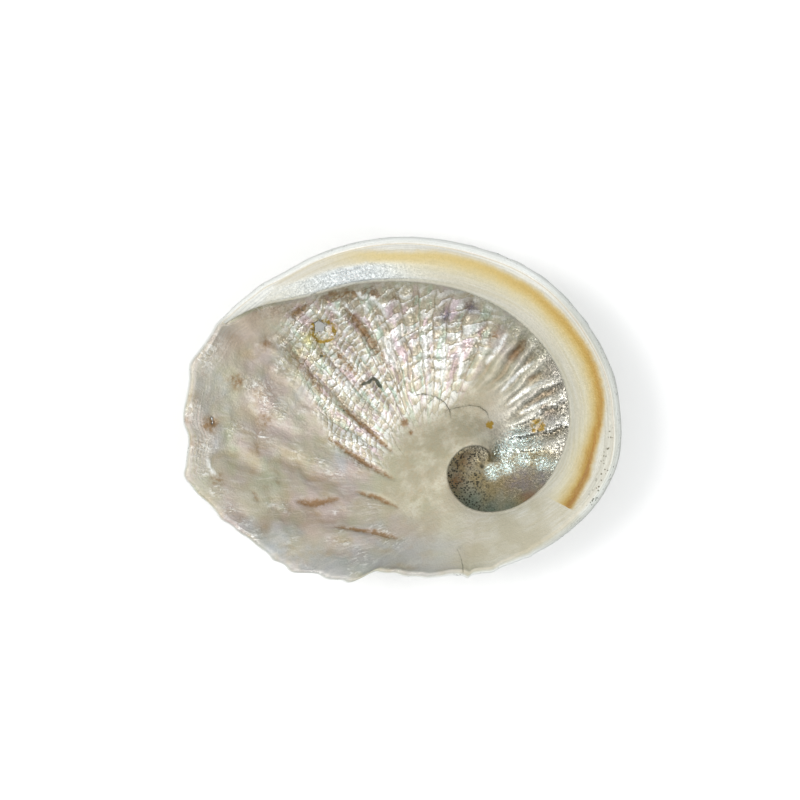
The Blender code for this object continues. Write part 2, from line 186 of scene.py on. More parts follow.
# How high the bowl stands at r: 0 at its bottom, 1 where r is edge.
# The lip's chips only tell close to the edge.
def dome(angle, r, edge):
    r = np.asarray(r, float)
    centreX, centreY = shellShape["domeCentre"]
    halfX, halfY = shellShape["domeHalfSizes"]

    def spreadAt(radius):
        x, y = place(angle, radius)
        return np.hypot((x - centreX) / halfX, (y - centreY) / halfY)

    whole = edge + wholeOutline(angle) - outline(angle)
    grown = 1 / spreadAt(whole) - 1
    missing = 1 / spreadAt(edge) - 1 - grown * (edge / whole) ** 3
    spread = spreadAt(r) * (1 + grown * (r / whole) ** 3 + missing * (r / edge) ** 16)
    spread = np.clip(spread, 0.0, 1.0)
    steep = 1 - (1 - spread**2.3) ** 0.53
    gentle = 0.72 * spread**2 + 0.28 * spread**5
    x, y = place(angle, r)
    facing = np.degrees(np.arctan2(y - centreY, x - centreX))
    return steep + (gentle - steep) * smoothStep(95, 25, np.abs(turned(facing - shellShape["lipSide"])))


def floorHeight(angle, r):
    shelfShare = smoothStep(118, 78, abs(turned(angle - shellShape["shelfSide"])))
    wall = shellShape["lipThickness"] + (shellShape["shelfWall"] - shellShape["lipThickness"]) * shelfShare
    edge = outline(angle) - wall
    low = shellShape["floorThickness"]
    return low + (rimHeight(angle) - low) * dome(angle, np.minimum(r, edge), edge)


# The back, without its folds: they are added along the normals, further on.
def backHeight(angle, r):
    edge = outline(angle)
    widest = rimHeight(angle) - through(shellShape["shoulder"], angle, 2, period=360)
    x, y = place(angle, r)
    fade = smoothStep(*folds["fadeAtRim"], edge - r)
    low = np.zeros_like(x)
    for holeAngle, holeR, _ in breathingHoles["places"]:
        holeX, holeY = place(holeAngle, holeR)
        away = np.hypot(x - holeX, y - holeY)
        low = low + breathingHoles["knobHeight"] * hump(away, breathingHoles["knobRadius"]) * fade
    for turn in range(-1, 1):
        along = angle + 360 * turn
        if -360 <= along <= shellShape["suture"][-1][0]:
            gap = r - through(shellShape["suture"], along)
            share = smoothStep(-360, -120, along) * (0.45 + 0.55 * smoothStep(-120, 150, along))
            width = shellShape["sutureHalfWidth"] * (0.3 + 0.7 * share)
            low = low - shellShape["sutureDepth"] * share * hump(gap, width)
    return widest * dome(angle, r, edge) - low


def innerEdge(along):
    return [float(through(shellShape["innerEdge"], along, column)) for column in (1, 2, 3)]


# From the floor round under the inner edge.
def hollowLine(angle, along, samples=160):
    edgeR, edgeZ, reach = innerEdge(along)
    start = max(edgeR - 0.5 * reach - 0.8, 0.6 * edgeR)
    slope = float(floorHeight(angle, start + 0.2) - floorHeight(angle, start - 0.2)) / 0.4
    thickness = shellShape["edgeThickness"] * float(smoothStep(0, 90, along))
    first = np.array([start, float(floorHeight(angle, start))])
    last = np.array([edgeR + 0.5 * thickness, edgeZ - thickness])
    pull = shellShape["hollowRoundness"] * reach
    firstPull = (edgeR - start + pull) * np.array([1.0, slope]) / math.hypot(1.0, slope)
    lastPull = pull * np.array([1.0, -0.2])
    t = np.linspace(0.0, 1.0, samples)[:, None]
    u = 1 - t
    ends = u**3 * first + t**3 * last
    return ends + 3 * t * u * (u * (first + firstPull) + t * (last + lastPull)), thickness


def edgeRound(along, thickness, samples=24):
    edgeR, edgeZ, _ = innerEdge(along)
    turn = np.radians(np.linspace(-90, 90, samples))[:, None]
    centre = np.array([edgeR + 0.5 * thickness, edgeZ - 0.5 * thickness])
    return centre + 0.5 * thickness * np.hstack([-np.cos(turn), np.sin(turn)])


# Outwards from the top of the inner edge: floor, shelf or between the two.
def upperSheet(angle, along, thickness, stop, samples=220):
    edgeR, edgeZ, _ = innerEdge(along)
    start = edgeR + 0.5 * thickness
    stopR, stopZ = stop
    r = np.linspace(start, stopR, samples)
    share = (r - start) / max(stopR - start, 1e-6)
    shelf = edgeZ + (stopZ - edgeZ) * share**0.8
    shelfShare = float(smoothStep(*shellShape["shelfFrom"], along))
    if shelfShare >= 1:
        return np.stack([r, shelf], 1)
    floor = floorHeight(angle, r)
    narrow, wide = shellShape["moundWidths"]
    width = narrow + (wide - narrow) * float(smoothStep(*shellShape["moundFrom"], along))
    mound = (edgeZ - floor[0]) * np.exp(-(((r - start) / width) ** 1.7))
    floor = floor + mound + (stopZ - floor[-1] - mound[-1]) * share**6
    return np.stack([r, floor + (shelf - floor) * shelfShare], 1)


def shoulderLine(angle, samples=60):
    inset = float(through(shellShape["shoulder"], angle, 1, period=360))
    drop = float(through(shellShape["shoulder"], angle, 2, period=360))
    turn = np.radians(np.linspace(90, 0, samples))
    return np.stack([
        outline(angle) - inset + inset * np.cos(turn),
        rimHeight(angle) - drop + drop * np.sin(turn),
    ], 1)


def backLine(angle, samples=360):
    r = float(outline(angle)) * (1 - np.linspace(0.0, 1.0, samples) ** 2)
    return np.stack([r, backHeight(angle, r)], 1)


def floorLine(angle, low, high, samples=120):
    r = np.linspace(low, high, samples)
    return np.stack([r, floorHeight(angle, r)], 1)


# The shell's line at this angle, in named stretches: (name, points, angle along the spiral).
def stretchesAt(angle, rimJoin):
    rim = shoulderLine(angle)
    found = {}
    if angle == 0:
        start = innerEdge(0)[0]
        found["pit"] = floorLine(0, 0.0, start), 0
        found["inner hollow"] = found["inner edge"] = found["pit"][0][-1:], 0
        found["floor"] = floorLine(0, start, hollowLine(0, 360)[0][0, 0]), 0
    else:
        line, thickness = hollowLine(angle, angle)
        found["pit"] = floorLine(angle, 0.0, line[0, 0]), angle
        found["inner hollow"] = line, angle
        found["inner edge"] = edgeRound(angle, thickness), angle
    if angle < rimJoin:
        shelfLine, shelfThickness = hollowLine(angle, angle + 360)
        if angle > 0:
            found["floor"] = upperSheet(angle, angle, thickness, shelfLine[0]), angle
        found["shelf hollow"] = shelfLine, angle + 360
        found["shelf edge"] = edgeRound(angle + 360, shelfThickness), angle + 360
        found["shelf"] = upperSheet(angle, angle + 360, shelfThickness, rim[0]), angle + 360
    else:
        found["floor"] = upperSheet(angle, angle, thickness, rim[0]), angle
    found["rim"] = rim, angle
    found["back"] = backLine(angle), angle
    return found


def resampled(line, step):
    if len(line) == 1:
        return line
    way = np.concatenate([[0.0], np.cumsum(np.hypot(*np.diff(line, axis=0).T))])
    at = np.linspace(0.0, way[-1], max(1, round(way[-1] / step)) + 1)
    return np.stack([np.interp(at, way, line[:, 0]), np.interp(at, way, line[:, 1])], 1)


def shares(ways):
    total = ways[-1] or 1.0
    return [w / total for w in ways] + [2.0]


# Fills the strip between two rows of (vertex number, way along the row) that may differ in length.
def stitched(left, right):
    shareLeft, shareRight = shares([w for _, w in left]), shares([w for _, w in right])
    near = 0.45 / max(len(left), len(right))
    i = j = 0
    faces = []
    while i < len(left) - 1 or j < len(right) - 1:
        nextLeft, nextRight = shareLeft[i + 1], shareRight[j + 1]
        both = abs(nextLeft - nextRight) < near
        corners = [left[i][0], right[j][0]]
        if both or nextRight <= nextLeft:
            j += 1
            corners.append(right[j][0])
        if both or nextLeft < nextRight:
            i += 1
            corners.append(left[i][0])
        corners = list(dict.fromkeys(corners))
        if len(corners) > 2:
            faces.append(corners)
    return faces


# What a vertex knows about where it lies, from its stretch and how far along that it is, from 0 to 1.
def factsAt(name, angle, along, share, rimWay):
    isShelfHollow = name == "shelf hollow"
    onSheet = 1.0 if name in ("floor", "shelf", "rim") else share if "edge" in name else 0.0
    shelfShare = float(smoothStep(*shellShape["shelfFrom"], along))
    aboveShare = float(smoothStep(*shellShape["clearOfPit"], angle if isShelfHollow else along))
    hollowShare = float(smoothStep(0.0, 0.35, share)) if "hollow" in name else 0.0
    return {
        "along": along,
        "onShelf": shelfShare * onSheet,
        "aboveEdge": aboveShare * (1.0 if isShelfHollow else onSheet),
        "inHollow": 1.0 if "edge" in name else hollowShare,
        "rimWay": rimWay,
    }


# The bare shell: places in mm, faces, and what each vertex knows about where it lies.
def loftShell():
    steps = {"inner edge": shellMesh["turnStep"], "shelf edge": shellMesh["turnStep"],
             "rim": shellMesh["turnStep"], "back": shellMesh["outsideStep"]}
    rimJoin = shellShape["innerEdge"][-1][0] - 360
    angles = np.linspace(0.0, 360.0, shellMesh["lines"] + 1)[:-1]
    angles[np.argmin(np.abs(angles - rimJoin))] = rimJoin
    known = {name: [] for name in ("along", "onShelf", "onBack", "aboveEdge", "inHollow", "rimWay")}
    places = []

    def addVertex(angle, r, z, facts):
        x, y = place(angle, r)
        places.append((x, y, z))
        for name in known:
            known[name].append(float(facts.get(name, 0)))
        return len(places) - 1

    axisInside = addVertex(0.0, 0.0, float(floorHeight(0.0, 0.0)), {"rimWay": -40})
    backFacts = {"onBack": 1, "aboveEdge": 1, "rimWay": 60}
    axisOutside = addVertex(0.0, 0.0, float(backHeight(0.0, 0.0)), backFacts)
    rows = []
    for angle in angles:
        row = {}
        last = axisInside
        edge = float(outline(angle))
        for name, (line, along) in stretchesAt(angle, rimJoin).items():
            points = resampled(line, steps.get(name, shellMesh["insideStep"]))
            ways = np.concatenate([[0.0], np.cumsum(np.hypot(*np.diff(points, axis=0).T))])
            stretch = [(last, 0.0)]
            for i in range(1, len(points)):
                if name == "back" and i == len(points) - 1:
                    stretch.append((axisOutside, ways[i]))
                    continue
                r, z = points[i]
                share = i / (len(points) - 1)
                facts = factsAt(name, angle, along, share, r - edge)
                if name == "rim":
                    facts.update(onBack=smoothStep(0.0, 0.5, share), aboveEdge=1, rimWay=ways[i])
                if name == "back":
                    facts.update(onBack=1, aboveEdge=1, onShelf=0, rimWay=ways[i] + rimLength)
                stretch.append((addVertex(angle, r, z, facts), ways[i]))
            row[name] = stretch
            last = stretch[-1][0]
            rimLength = ways[-1]  # the one before the back is the rim's
        rows.append(row)
    faces = []
    for i, row in enumerate(rows):
        ahead = rows[(i + 1) % len(rows)]
        if i + 1 < len(rows) and angles[i + 1] == rimJoin:
            end = ahead["floor"][-1:]
            ahead = {**ahead, "shelf hollow": end, "shelf edge": end, "shelf": end}
        if i + 1 == len(rows):
            pit, floor = ahead["pit"], ahead["floor"]
            longer = pit + [(v, w + pit[-1][1]) for v, w in floor[1:]]
            ahead = {
                "pit": longer, "inner hollow": ahead["shelf hollow"], "inner edge": ahead["shelf edge"],
                "floor": ahead["shelf"], "rim": ahead["rim"], "back": ahead["back"],
            }
        for name in row:
            faces += stitched(row[name], ahead[name])
    places = np.array(places)
    low = shellShape["wornDepth"]
    places[:, 2] = np.maximum(places[:, 2], low) - low
    return places, faces, {name: np.array(values) for name, values in known.items()}


# Marks on the inside, placed in mm as they look from straight above: (x, y, ...), with widths and strengths.
marks = {
    "eye": (-0.7, 2.4, 630.0),  # where they are seen from
    # brown lines in the valleys: (half width, strength, points)
    "brownLines": [
        (0.75, 1.0, [(-17.9, 1.6), (-10.2, -4.9), (-2.4, -12.1)]),
        (0.85, 0.95, [(-21.2, -7.1), (-11.6, -13.9), (-1.6, -19.6)]),
        (0.8, 0.8, [(-13.3, -22.5), (-7.5, -23.9), (-0.8, -27.1)]),
        (1.1, 0.95, [(-29.3, -25.0), (-23.0, -25.6), (-17.0, -24.6)]),
        (0.8, 0.85, [(-19.2, -32.1), (-14.3, -32.6), (-7.5, -33.7), (0.7, -35.6)]),
        (1.3, 0.75, [(-17.2, 30.4), (-12.9, 23.9), (-8.3, 18.2), (-3.4, 11.0)]),
        (1.7, 0.5, [(-33.6, 18.4), (-29.0, 13.4), (-24.0, 7.0), (-17.6, 0.4)]),
        (1.0, 1.1, [(-30.0, 24.4), (-28.0, 26.4), (-25.8, 28.6)]),
        (1.8, 0.75, [(-24.5, 29.5), (-19.0, 31.0), (-12.0, 31.8), (-4.0, 32.6)]),
        (0.95, 0.75, [(-20.0, 17.3), (-15.6, 12.8), (-11.3, 7.7)]),
        (1.4, 0.55, [(26.5, 23.5), (25.0, 20.0), (23.2, 16.5)]),
        (1.6, 0.6, [(33.6, 18.8), (31.0, 15.4), (28.6, 12.8)]),
        (1.2, 0.7, [(-9.3, 33.0), (-6.1, 30.0)]),
        (1.6, 0.6, [(17.0, 30.4), (19.0, 27.0)]),
        (0.8, 0.4, [(38.0, 10.0), (33.0, 7.4)]),
        (0.9, 0.4, [(41.5, 1.2), (36.5, 0.2)]),
        (0.5, 0.5, [(-2.7, 9.4), (-1.4, 5.2), (0.4, -2.2)]),
        (0.8, 0.5, [(-41.2, -21.8), (-39.0, -26.0)]),
        (0.9, 0.35, [(-56.9, -12.6), (-56.2, -18.5)]),
        (0.9, 0.35, [(10.0, -42.0), (-2.0, -43.5), (-8.0, -43.0)]),
    ],
    # (x, y, radius, strength)
    "brownSpots": [
        (-37.2, 17.7, 2.2, 0.55), (-45.3, 7.5, 2.6, 0.7), (-52.6, -4.1, 2.3, 1.0),
        (-37.4, -3.0, 2.8, 0.55), (-39.6, -10.9, 2.4, 0.4), (-50.5, -19.4, 2.7, 0.5),
        (-34.1, -19.6, 1.9, 0.35), (-37.0, -21.5, 2.0, 0.3),
        (-18.9, 30.8, 1.7, 0.9), (-15.6, 31.6, 1.4, 0.8), (-11.6, 30.6, 1.6, 0.7),
        (0.4, -3.6, 1.3, 0.9), (2.3, -6.6, 0.7, 0.9), (-11.0, 6.8, 1.2, 0.7), (-7.8, -33.3, 0.8, 0.8),
        (-15.8, -0.3, 0.6, 1.0), (34.8, -24.2, 2.2, 1.1),
        (38.6, -22.2, 1.8, 0.8), (14.4, -19.6, 2.6, 0.7), (16.6, -14.0, 2.6, 0.5),
        (45.0, -11.0, 2.2, 0.35), (-5.0, 30.5, 1.5, 0.4),
        (-58.5, -3.0, 1.4, 0.4), (-57.0, -9.0, 3.4, 0.35), (-57.5, 3.0, 3.6, 0.3), (-54.0, 9.5, 3.0, 0.25),
        (-40.0, 26.0, 5.0, 0.25), (-34.5, 27.5, 4.0, 0.25), (-46.0, 20.0, 3.4, 0.2),
        (-27.0, 8.0, 2.6, 0.25), (41.0, -29.5, 1.5, 0.8), (37.0, -4.9, 2.0, 0.6),
    ],
    # resin-yellow rims of healed holes: (x, y, radius of the rim, its half width, strength)
    "yellowRims": [
        (-21.6, 21.2, 3.0, 0.6, 1.2), (36.8, -4.8, 1.4, 0.8, 1.0), (23.8, -4.4, 0.1, 0.75, 3.0),
        (-21.9, 14.4, 0.6, 0.4, 0.8),
    ],
    # pale yellow glow round the hole: (x, y, radius, strength)
    "paleSpots": [
        (-25.2, 19.0, 2.3, 1.0), (-23.0, 17.4, 1.4, 0.7), (-26.6, 15.8, 2.6, 0.35), (-29.0, 11.0, 3.0, 0.3),
        (36.6, -4.2, 1.0, 0.9),
    ],
    # glittering patches in and beside the pit, whose pale speckled colour is a painted glitter highlight: (x,
    # y, radius, strength)
    "silverPatches": [
        (-22.4, 22.0, 2.6, 1.0), (31.0, -8.5, 4.4, 0.8), (27.5, -11.0, 3.2, 0.8), (35.5, -9.5, 3.0, 0.45),
        (24.5, -17.2, 2.2, 0.8), (28.5, -15.6, 2.4, 0.8),
        (33.0, -13.8, 2.2, 0.8), (38.0, -14.8, 2.4, 0.8), (42.0, -15.6, 2.0, 0.7), (36.0, -10.0, 2.6, 0.6),
    ],
    # painted shade in dark teal where the pit is deepest and runs under its edge: (x, y, radius, strength)
    "pitShadeSpots": [
        (19.0, -25.5, 3.6, 0.9), (24.0, -27.6, 3.4, 0.9), (29.0, -27.0, 3.0, 0.7), (16.0, -22.0, 2.4, 0.5),
    ],
    # soft grey-violet patches: (x, y, radius, strength)
    "violetSpots": [
        (11.5, 25.3, 2.2, 0.8), (14.6, 24.6, 1.5, 0.5), (18.9, 27.3, 2.0, 0.8), (33.4, -18.4, 2.6, 0.6),
        (40.4, -2.6, 1.8, 0.5), (27.0, 17.0, 2.0, 0.4), (37.5, -19.0, 2.6, 0.6), (30.4, -20.0, 2.8, 0.6),
        (34.0, -20.6, 3.0, 0.6),
    ],
    # black cracks, and the edges of broken layers with a painted shadow line along them: (strength, step up
    # on the line's left in mm, points)
    "cracks": [
        (2.4, 0.0, [(-11.6, 6.4), (-9.6, 7.2), (-8.0, 8.3), (-6.9, 7.4), (-5.5, 5.2)]),
        (0.6, 0.3, [(13.2, -3.6), (12.9, -0.6), (11.6, 1.6), (9.0, 3.3), (5.6, 4.1), (2.4, 3.4)]),
        (0.55, 0.3, [(23.6, -2.8), (22.9, -0.9), (21.0, 0.5), (18.2, 0.9), (14.6, 0.2), (10.8, -0.8)]),
        (0.3, 0.2, [(14.8, 2.2), (12.0, 3.3), (8.6, 2.9), (6.6, 1.2)]),
        (0.45, 0.3, [(14.6, -37.6), (15.8, -40.4), (16.4, -43.0), (16.5, -46.8)]),
        (0.3, 0.15, [(-3.4, -6.0), (-1.6, -10.0), (0.6, -13.0)]),
        (0.4, 0.2, [(5.0, 14.4), (11.0, 13.7), (17.0, 14.7)]),
        (0.3, 0.2, [(4.9, 11.4), (10.6, 10.7), (16.5, 11.5)]),
    ],
    # white strokes where a layer's edge catches the light: (half width, strength, points)
    "whiteStrokes": [
        (0.5, 1.0, [(-12.9, 32.7), (-11.0, 30.5), (-9.1, 30.7)]),
        (0.55, 1.0, [(-9.1, 30.5), (-6.1, 27.8), (-3.1, 29.1)]),
        (0.5, 0.9, [(-21.9, 28.0), (-19.0, 27.2), (-16.5, 25.3)]),
        (0.5, 1.0, [(-16.5, 29.1), (-14.6, 27.6), (-12.9, 25.6)]),
        (0.5, 0.8, [(-2.0, 31.6), (0.6, 30.4), (3.0, 31.0)]),
        (1.2, 0.7, [(-4.0, 21.0), (-3.6, 14.0), (-0.6, 10.6)]),
        (0.6, 0.8, [(22.4, 28.3), (23.6, 27.6), (25.2, 26.4)]),
        (0.7, 0.8, [(10.8, 19.8), (11.4, 12.0), (10.6, 6.0)]),
        (0.6, 0.8, [(15.2, 20.6), (16.0, 12.0), (14.8, 6.6)]),
        (0.6, 0.7, [(6.2, 22.0), (6.0, 14.6), (7.2, 8.0)]),
        (0.6, 0.9, [(29.0, 21.4), (26.0, 16.6), (22.6, 12.0)]),
        (0.5, 0.9, [(36.0, 13.0), (31.4, 9.6), (26.6, 4.4)]),
        (0.5, 0.9, [(39.4, 8.0), (33.0, 4.6), (28.4, 1.0)]),
        (0.5, 0.7, [(41.0, 3.4), (36.0, 0.8), (31.6, -1.4)]),
        (0.5, 0.7, [(-50.6, -18.6), (-52.6, -16.0), (-53.0, -13.0)]),
    ],
    # broad soft ridges: (half width, height in mm, points)
    "swells": [
        (1.7, 0.9, [(-37.0, 18.0), (-33.0, 13.4), (-29.0, 8.4), (-24.8, 3.0), (-20.6, -1.8)]),
        (2.6, 0.7, [(-41.0, 4.6), (-36.4, 1.0), (-31.6, -3.4), (-26.0, -6.0)]),
        (1.6, 0.35, [(-55.4, -20.4), (-53.4, -17.0), (-53.0, -13.0)]),
        (1.5, 0.35, [(-21.4, -33.8), (-15.0, -35.0), (-9.0, -36.0)]),
        (1.4, 0.4, [(36.0, -4.2), (37.6, -5.0)]),
        (2.2, 0.5, [(-44.0, -10.0), (-38.0, -14.6), (-30.0, -18.0)]),
        (2.4, 0.5, [(-47.0, 12.0), (-42.0, 9.6), (-37.6, 10.2)]),
    ],
    # soft rosy patches: (x, y, radius, strength)
    "rosySpots": [
        (-42.0, 24.0, 5.0, 0.8), (-35.0, 27.6, 4.4, 0.8), (-28.6, 30.0, 3.4, 0.6), (-47.6, 16.0, 4.0, 0.5),
        (-25.0, -34.0, 3.4, 0.5), (-44.0, -2.0, 3.4, 0.3),
    ],
    # patches of fine wrinkles, white with a painted highlight: (x, y, radius, strength)
    "shiningCrinklePatches": [
        (-32.5, 11.7, 2.6, 0.9), (-31.7, 18.0, 2.4, 0.9), (-36.1, 1.1, 2.9, 1.0), (-33.3, -0.8, 2.4, 0.9),
        (-38.2, 3.4, 2.2, 0.9), (-38.2, -7.3, 2.0, 0.9), (-21.9, 0.3, 1.5, 0.8), (-53.7, 14.7, 3.0, 0.9),
        (-51.8, 17.6, 2.8, 0.9), (-54.6, -17.1, 1.7, 1.0), (-46.9, -27.5, 2.2, 0.7), (-42.6, -30.0, 1.8, 0.7),
        (-26.6, 10.8, 2.2, 0.7), (-27.8, 22.6, 2.4, 0.6), (-18.6, -8.4, 2.4, 0.7), (-12.0, -15.0, 2.4, 0.6),
        (-30.0, -35.4, 3.2, 0.4), (-20.0, -17.6, 2.4, 0.4), (28.6, 23.4, 1.8, 1.0), (31.4, 21.0, 1.6, 1.0),
        (22.4, 27.0, 1.6, 0.9), (36.4, 15.6, 1.8, 0.9), (3.0, 29.6, 2.0, 0.7), (-12.0, 28.0, 2.4, 0.6),
    ],
    # dark spots, two of them painted shade in tiny holes: (x, y, radius, strength)
    "darkSpots": [
        (-22.1, 14.4, 0.55, 1.0), (21.6, -15.6, 0.8, 0.9), (-15.9, -0.5, 0.4, 1.0), (2.2, -6.4, 0.35, 0.8),
        (37.4, -4.0, 0.5, 0.5), (34.6, -25.0, 1.1, 0.55), (37.4, -23.6, 1.0, 0.5), (-29.0, 25.2, 0.5, 0.8),
        (-27.2, 26.6, 0.5, 0.8),
    ],
    # the stripe along the shelf: (angle along the spiral, distance of its middle from the axis)
    "stripe": [
        (325, 25.0), (333.2, 25.6), (341.9, 26.3), (352.0, 27.5), (364.6, 29.0), (376.0, 31.9), (384.6, 34.7),
        (393.6, 37.4), (402.3, 39.7), (410.1, 41.7), (417.6, 43.5), (425.5, 45.6), (433.5, 48.3),
        (441.8, 50.6),
        (449.2, 53.3), (456.0, 55.5), (462.3, 57.8), (470.4, 60.2), (483.7, 67.7), (495.0, 72.5),
    ],
}


# Where points lie beside a line through the given ones, in mm.
# Gives (distance, positive to its left; way along it, 0 to 1).
def besideLine(x, y, points):
    lengths = [math.dist(a, b) for a, b in zip(points, points[1:])]
    best, side, way = np.full(len(x), 1e6), np.ones(len(x)), np.zeros(len(x))
    for number, ((x0, y0), (x1, y1)) in enumerate(zip(points, points[1:])):
        dx, dy = x1 - x0, y1 - y0
        t = np.clip(((x - x0) * dx + (y - y0) * dy) / (dx * dx + dy * dy), 0.0, 1.0)
        distance = np.hypot(x - x0 - t * dx, y - y0 - t * dy)
        closer = distance < best
        best = np.where(closer, distance, best)
        side = np.where(closer, np.sign(dx * (y - y0) - dy * (x - x0)), side)
        way = np.where(closer, (sum(lengths[:number]) + t * lengths[number]) / sum(lengths), way)
    return best * side, way


# How strongly a group of marks tells at each point. Lines taper towards their ends.
def lineShares(group, x, y):
    total = np.zeros(len(x))
    for halfWidth, strength, points in marks[group]:
        distance, way = besideLine(x, y, points)
        taper = np.sqrt(np.clip(4 * way * (1 - way), 0.0, 1.0))
        total = np.maximum(total, strength * taper * hump(distance, halfWidth * (0.4 + 0.6 * taper)))
    return total


def spotShares(group, x, y):
    total = np.zeros(len(x))
    for spotX, spotY, radius, strength in marks[group]:
        total = np.maximum(total, strength * hump(np.hypot(x - spotX, y - spotY), radius))
    return total


def ringShares(group, x, y):
    total = np.zeros(len(x))
    for ringX, ringY, radius, halfWidth, strength in marks[group]:
        away = np.hypot(x - ringX, y - ringY) - radius
        total = np.maximum(total, strength * hump(away, halfWidth))
    return total


# The thin cracks: on which side of the nearest one a point is, how near, and how much it is raised.
def crackFacts(x, y):
    side, near, step = np.full(len(x), 3.0), np.zeros(len(x)), np.zeros(len(x))
    nearest = np.full(len(x), 1e6)
    for strength, height, points in marks["cracks"]:
        distance, way = besideLine(x, y, points)
        away = np.abs(distance)
        closer = away < nearest
        nearest = np.where(closer, away, nearest)
        ends = smoothStep(0.0, 0.12, way) * smoothStep(1.0, 0.88, way)
        raised = height * ends * smoothStep(2.6, 0.4, away) * (distance > 0)
        side = np.where(closer, np.clip(distance, -3, 3), side)
        near = np.where(closer, strength * ends * smoothStep(2.2, 1.4, away), near)
        step = np.where(closer, raised, step)
    return side, near, step


# Where each kind of surface lies. Ways are in mm, lines are the directions of the folds' lines in degrees.
# Four numbers: it fades in over the first two and out over the last two.
regions = {
    "fanLines": (-36, -6, 195, 255),
    # (line, way from the axis where the folds start), and over what way they grow
    "foldStart": [(-40, 7), (10, 8), (40, 13), (60, 17), (90, 19), (130, 25), (200, 34), (260, 44)],
    "foldGrowth": [(60, 8), (100, 12)],
    "foldsEndAtRim": [(0, 3.6), (70, 4.0), (110, 7.0)],  # (line, way from the rim where they fade)
    "foldsNearPit": [(-20, 0.25), (4, 0.5), (26, 1.0)],  # (line, how strong they are)
    "flatRound": (36.8, -4.6, 3.6),  # the healed hole among them: (x, y, radius)
    "backFolds": (10, 46),  # ways from the axis over which they grow
    "backFoldsFromRim": (5.5, 14.0),
    "crownWays": (8, 20),  # from the worn crown, which is smooth
    "plateLines": (64, 78),
    "platesFromX": (-40, -25),
    "lastPlate": [(30, 163), (42, 157), (50, 148), (62, 143)],  # (way from the axis, line)
    "silverLines": (-58, -24, 66, 80),
    "lumpLines": (105, 150, 264, 292),
    "lumpWays": (20, 32),
    "pitWays": (26, 15),
    "pitBelowY": (-7.0, -13.0),
    "calmWays": (36, 20),
    "spireWays": (12, 7),
    "rimBandAngles": (120, 140, 176, 192),
    "rimBandWays": (-12, -3),  # from the rim
    "shelfAngles": (-30, -26, 148, 154),
    "strip": (485, 14),  # (angle along the spiral of its middle, half its length)
    "stripWays": (0.4, 1.2, 4.6, 6.6),  # from the inner edge
}


def window(value, low, lowEnd, highStart, high):
    return smoothStep(low, lowEnd, value) * smoothStep(high, highStart, value)


# Places as they look from the eye, brought to the rim's height, where the marks are given.
def seenFromEye(places):
    eyeX, eyeY, eyeZ = marks["eye"]
    near = (eyeZ - shellShape["rimHeight"]) / (eyeZ - places[:, 2])
    return eyeX + (places[:, 0] - eyeX) * near, eyeY + (places[:, 1] - eyeY) * near


